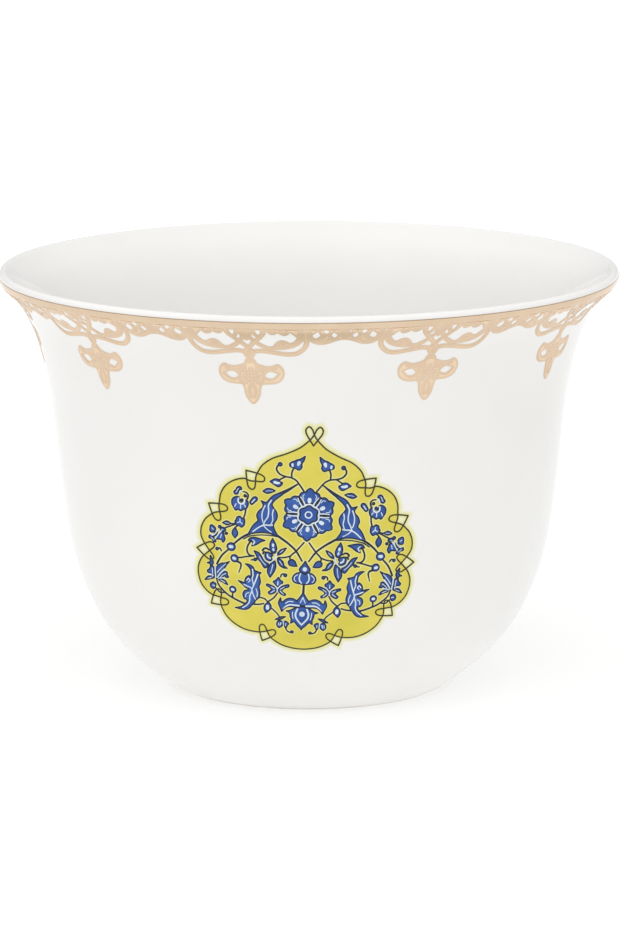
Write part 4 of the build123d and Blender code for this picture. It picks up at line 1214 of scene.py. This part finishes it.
# pale halo that fades into the porcelain towards its edge
HALO, tree, bsdf = shader("enamel_halo")
deep = tree.nodes.new("ShaderNodeAttribute")
deep.attribute_name = "depth"
fade = span(tree, deep.outputs["Fac"], 0.0, 0.42, 0.0, 1.0)
speck = span(tree, noise(tree, 700.0, 4.0, 0.6, (1.0, 8.0, 2.0)), 0.3, 0.7, -0.10, 0.10)
add = tree.nodes.new("ShaderNodeMath")
add.operation = "ADD"
tree.links.new(fade, add.inputs[0])
tree.links.new(speck, add.inputs[1])
tree.links.new(ramp(tree, add.outputs["Value"], [(0.0, (0.85, 0.845, 0.78)), (0.32, (0.85, 0.84, 0.58)), (1.0, (0.81, 0.785, 0.36))]), bsdf.inputs["Base Color"])
bsdf.inputs["Roughness"].default_value = 0.08
bsdf.inputs["Specular IOR Level"].default_value = 0.45

# ---------------------------------------------------------------- the cup


def arc(x, z, r, a0, a1, count):
    a = np.radians(np.linspace(a0, a1, count))
    return np.c_[x + r * np.cos(a), z + r * np.sin(a)]


skin_out = thinned(OUT, 0.9, 2.5)
skin_in = thinned(INN, 0.9, 2.5)
core_out = thinned(shifted(OUT, OUT_T, -GLAZE_T), 1.6, 4.0)
core_in = thinned(INN + np.c_[INN_T[:, 1], -INN_T[:, 0]] * GLAZE_T, 1.6, 4.0)
core_in[0] = (0.0, FLOOR[0][1] - GLAZE_T)
# the coat in two pieces that meet under the gold band: the outside, and the lip with the bowl
meet = OUT[np.searchsorted(-DOWN, -0.40)], shifted(OUT, OUT_T, -GLAZE_T)[np.searchsorted(-DOWN, -0.40)]
outer_loop = np.vstack([
    skin_out[skin_out[:, 1] < meet[0][1] - 0.05], meet[0], meet[1], core_out[core_out[:, 1] < meet[1][1] - 0.05][::-1],
])
bowl_loop = np.vstack([
    meet[0], skin_out[skin_out[:, 1] > meet[0][1] + 0.05], arc(LIP_MID, LIP_Z, LIP_R, 0, LIP_TURN, 21)[1:-1], skin_in[::-1],
    core_in, arc(LIP_MID, LIP_Z, LIP_R - GLAZE_T, LIP_TURN, 0, 12)[1:-1], core_out[core_out[:, 1] > meet[1][1] + 0.05][::-1], meet[1],
])
BOWL = placed(lathe("glaze_coat_bowl", bowl_loop, 288, GLAZE), "glaze", "glaze_coat")
GLAZED = [BOWL, placed(lathe("glaze_coat_outside", outer_loop, 288, GLAZE), "glaze", "glaze_coat")]

well, well_t = clamped(WELL, (1.0, 0.0), (0.6, -1.0), 400)
foot_in, _ = clamped([WELL[-1], (13.95, 0.24), (14.40, 0.0)], (0.6, -1.0), (1.0, -0.12), 60)
foot_out, _ = clamped([(16.0, 0.0), (16.60, 0.16), tuple(core_out[0])], (1.0, 0.05), (1.33, 1.0), 60)
body_loop = np.vstack([
    thinned(well, 1.2, 3.0)[:-1], thinned(foot_in, 0.3, 5.0), thinned(foot_out, 0.3, 5.0)[:-1],
    core_out, arc(LIP_MID, LIP_Z, LIP_R - GLAZE_T, 0, LIP_TURN, 12)[1:-1], core_in[::-1],
])
placed(lathe("porcelain_core", body_loop, 240, BISQUE), "bisque", "porcelain_body")

well_top = thinned(well, 0.9, 3.0)
well_skin = thinned(well + np.c_[well_t[:, 1], -well_t[:, 0]] * 0.15, 0.9, 3.0)
well_skin[0] = (0.0, WELL[0][1] - 0.15)
placed(lathe("foot_well_skin", np.vstack([well_top[::-1], well_skin]), 192, WELL_GLAZE), "glaze", "foot_well_glaze")

# plain gold band lined round the rim, a little higher in its middle
s_band = np.linspace(-0.02, 0.84, 15)
swell = 0.030 + 0.045 * np.sqrt(np.clip(1 - (np.linspace(-1, 1, 15)) ** 6, 0, 1))
face = on_glaze(np.zeros(15), s_band, swell)
seat = on_glaze(np.zeros(15), s_band, -0.01)
band_loop = np.vstack([np.c_[-face[::-1, 1], face[::-1, 2]], np.c_[-seat[:, 1], seat[:, 2]]])
GILDED = [placed(lathe("gold_band", band_loop, 288, GOLD, 60.0), "gold", "gold_rim_band")]

for name, field, low, high, material in (
    ("gold_lace_outline", lace_back, -0.01, 0.030, GOLD_LINE), ("gold_lace", lace_fill, 0.004, 0.056, GOLD_SATIN),
):
    xy, tri = flat_mesh(lace_sheet, field, insets=(0.05,) if field is lace_fill else (), spacing=0.42, tolerance=0.008, longest=0.4)
    flats = [(xy, tri, to_border(k), m) for k in range(REPEATS) for m in (False, True)]
    gilding = raised(name, lace_sheet, field, flats, low, high, material, bevel=(0.05, 0.008) if field is lace_fill else None)
    GILDED.append(placed(gilding, "gold", "gold_lace_border"))

LAYERS = [
    ("halo", halo, (0.14, 0.28, 0.42), -0.010, 0.014, HALO, "halo", "enamel_pale"),
    ("ground", print_ground, (), 0.004, 0.030, YELLOW, "ground", "enamel_yellow"),
    ("reserve", print_reserve, (), 0.020, 0.040, PALE, "ground", "enamel_pale"),
    ("contour", print_line, (), 0.005, 0.054, LINE, "line", "enamel_dark"),
    ("ink", print_ink, (), 0.030, 0.052, INK, "blue", "enamel_dark"),
    ("cobalt", print_blue, (), 0.042, 0.066, BLUE, "blue", "enamel_blue"),
    ("lights", print_light, (), 0.054, 0.080, WHITE, "white", "enamel_white"),
]
for label, field, insets, low, high, material, node, slot in LAYERS:
    xy, tri = flat_mesh(sheet, field, insets=insets, spacing=0.8, tolerance=0.005)
    flats = [(xy, tri, to_medallion, m) for m in (False, True)]
    for face_name, roll in (("front", 0.0), ("back", math.pi)):
        print_layer = raised(f"{face_name}_print_{label}", sheet, field, flats, low, high, material, roll)
        GLAZED.append(placed(print_layer, slot, f"{face_name}_medallion_{node}"))

# ---------------------------------------------------------------- floor, light and camera

scene = bpy.context.scene
scene.view_settings.view_transform = "Standard"

floor_mesh = bpy.data.meshes.new("floor")
floor_mesh.from_pydata([(-3, -3, 0), (3, -3, 0), (3, 3, 0), (-3, 3, 0)], [], [(0, 1, 2, 3)])
floor = bpy.data.objects.new("floor", floor_mesh)
floor.location.z = -0.00003
scene.collection.objects.link(floor)
FLOOR_MAT, tree, bsdf = shader("pale_floor")
tree.links.new(ramp(tree, noise(tree, 6.0, 2.0), [(0.3, (0.39, 0.39, 0.388)), (0.7, (0.41, 0.41, 0.408))]), bsdf.inputs["Base Color"])
bsdf.inputs["Roughness"].default_value = 0.9
bsdf.inputs["Specular IOR Level"].default_value = 0.1
bsdf.inputs["Emission Color"].default_value = (1.0, 1.0, 0.995, 1.0)
bsdf.inputs["Emission Strength"].default_value = 0.63
floor_mesh.materials.append(FLOOR_MAT)

world = bpy.data.worlds.new("studio")
scene.world = world
world.use_nodes = True
world.node_tree.nodes["Background"].inputs["Color"].default_value = (1.0, 0.998, 0.99, 1.0)
world.node_tree.nodes["Background"].inputs["Strength"].default_value = 0.635


def sun(name, toward, spread, strength):
    lamp = bpy.data.lights.new(name, "SUN")
    lamp.angle = math.radians(spread)
    lamp.energy = strength
    obj = bpy.data.objects.new(name, lamp)
    obj.rotation_euler = Vector(toward).to_track_quat("-Z", "Y").to_euler()
    obj.visible_glossy = False
    scene.collection.objects.link(obj)
    return obj


overhead = sun("overhead", (0.0, 0.0, -1.0), 50.0, 0.70)
key = sun("key", (1.0, 0.45, -0.6), 90.0, 0.21)
fill = sun("front_fill", (0.0, 0.55, -0.83), 50.0, 0.74)

camera = bpy.data.cameras.new("camera")
camera.sensor_width = 36.0
camera.lens = 196.1
camera.dof.use_dof = False
viewer = bpy.data.objects.new("camera", camera)
viewer.matrix_world = (
    Matrix.Translation((0.0, -0.600, 0.1454)) @ Matrix.Rotation(math.radians(-0.014), 4, "Z")
    @ Matrix.Rotation(math.radians(78.77), 4, "X") @ Matrix.Rotation(math.radians(-0.15), 4, "Z")
)
camera.clip_start, camera.clip_end = 0.05, 20.0
scene.collection.objects.link(viewer)
scene.camera = viewer
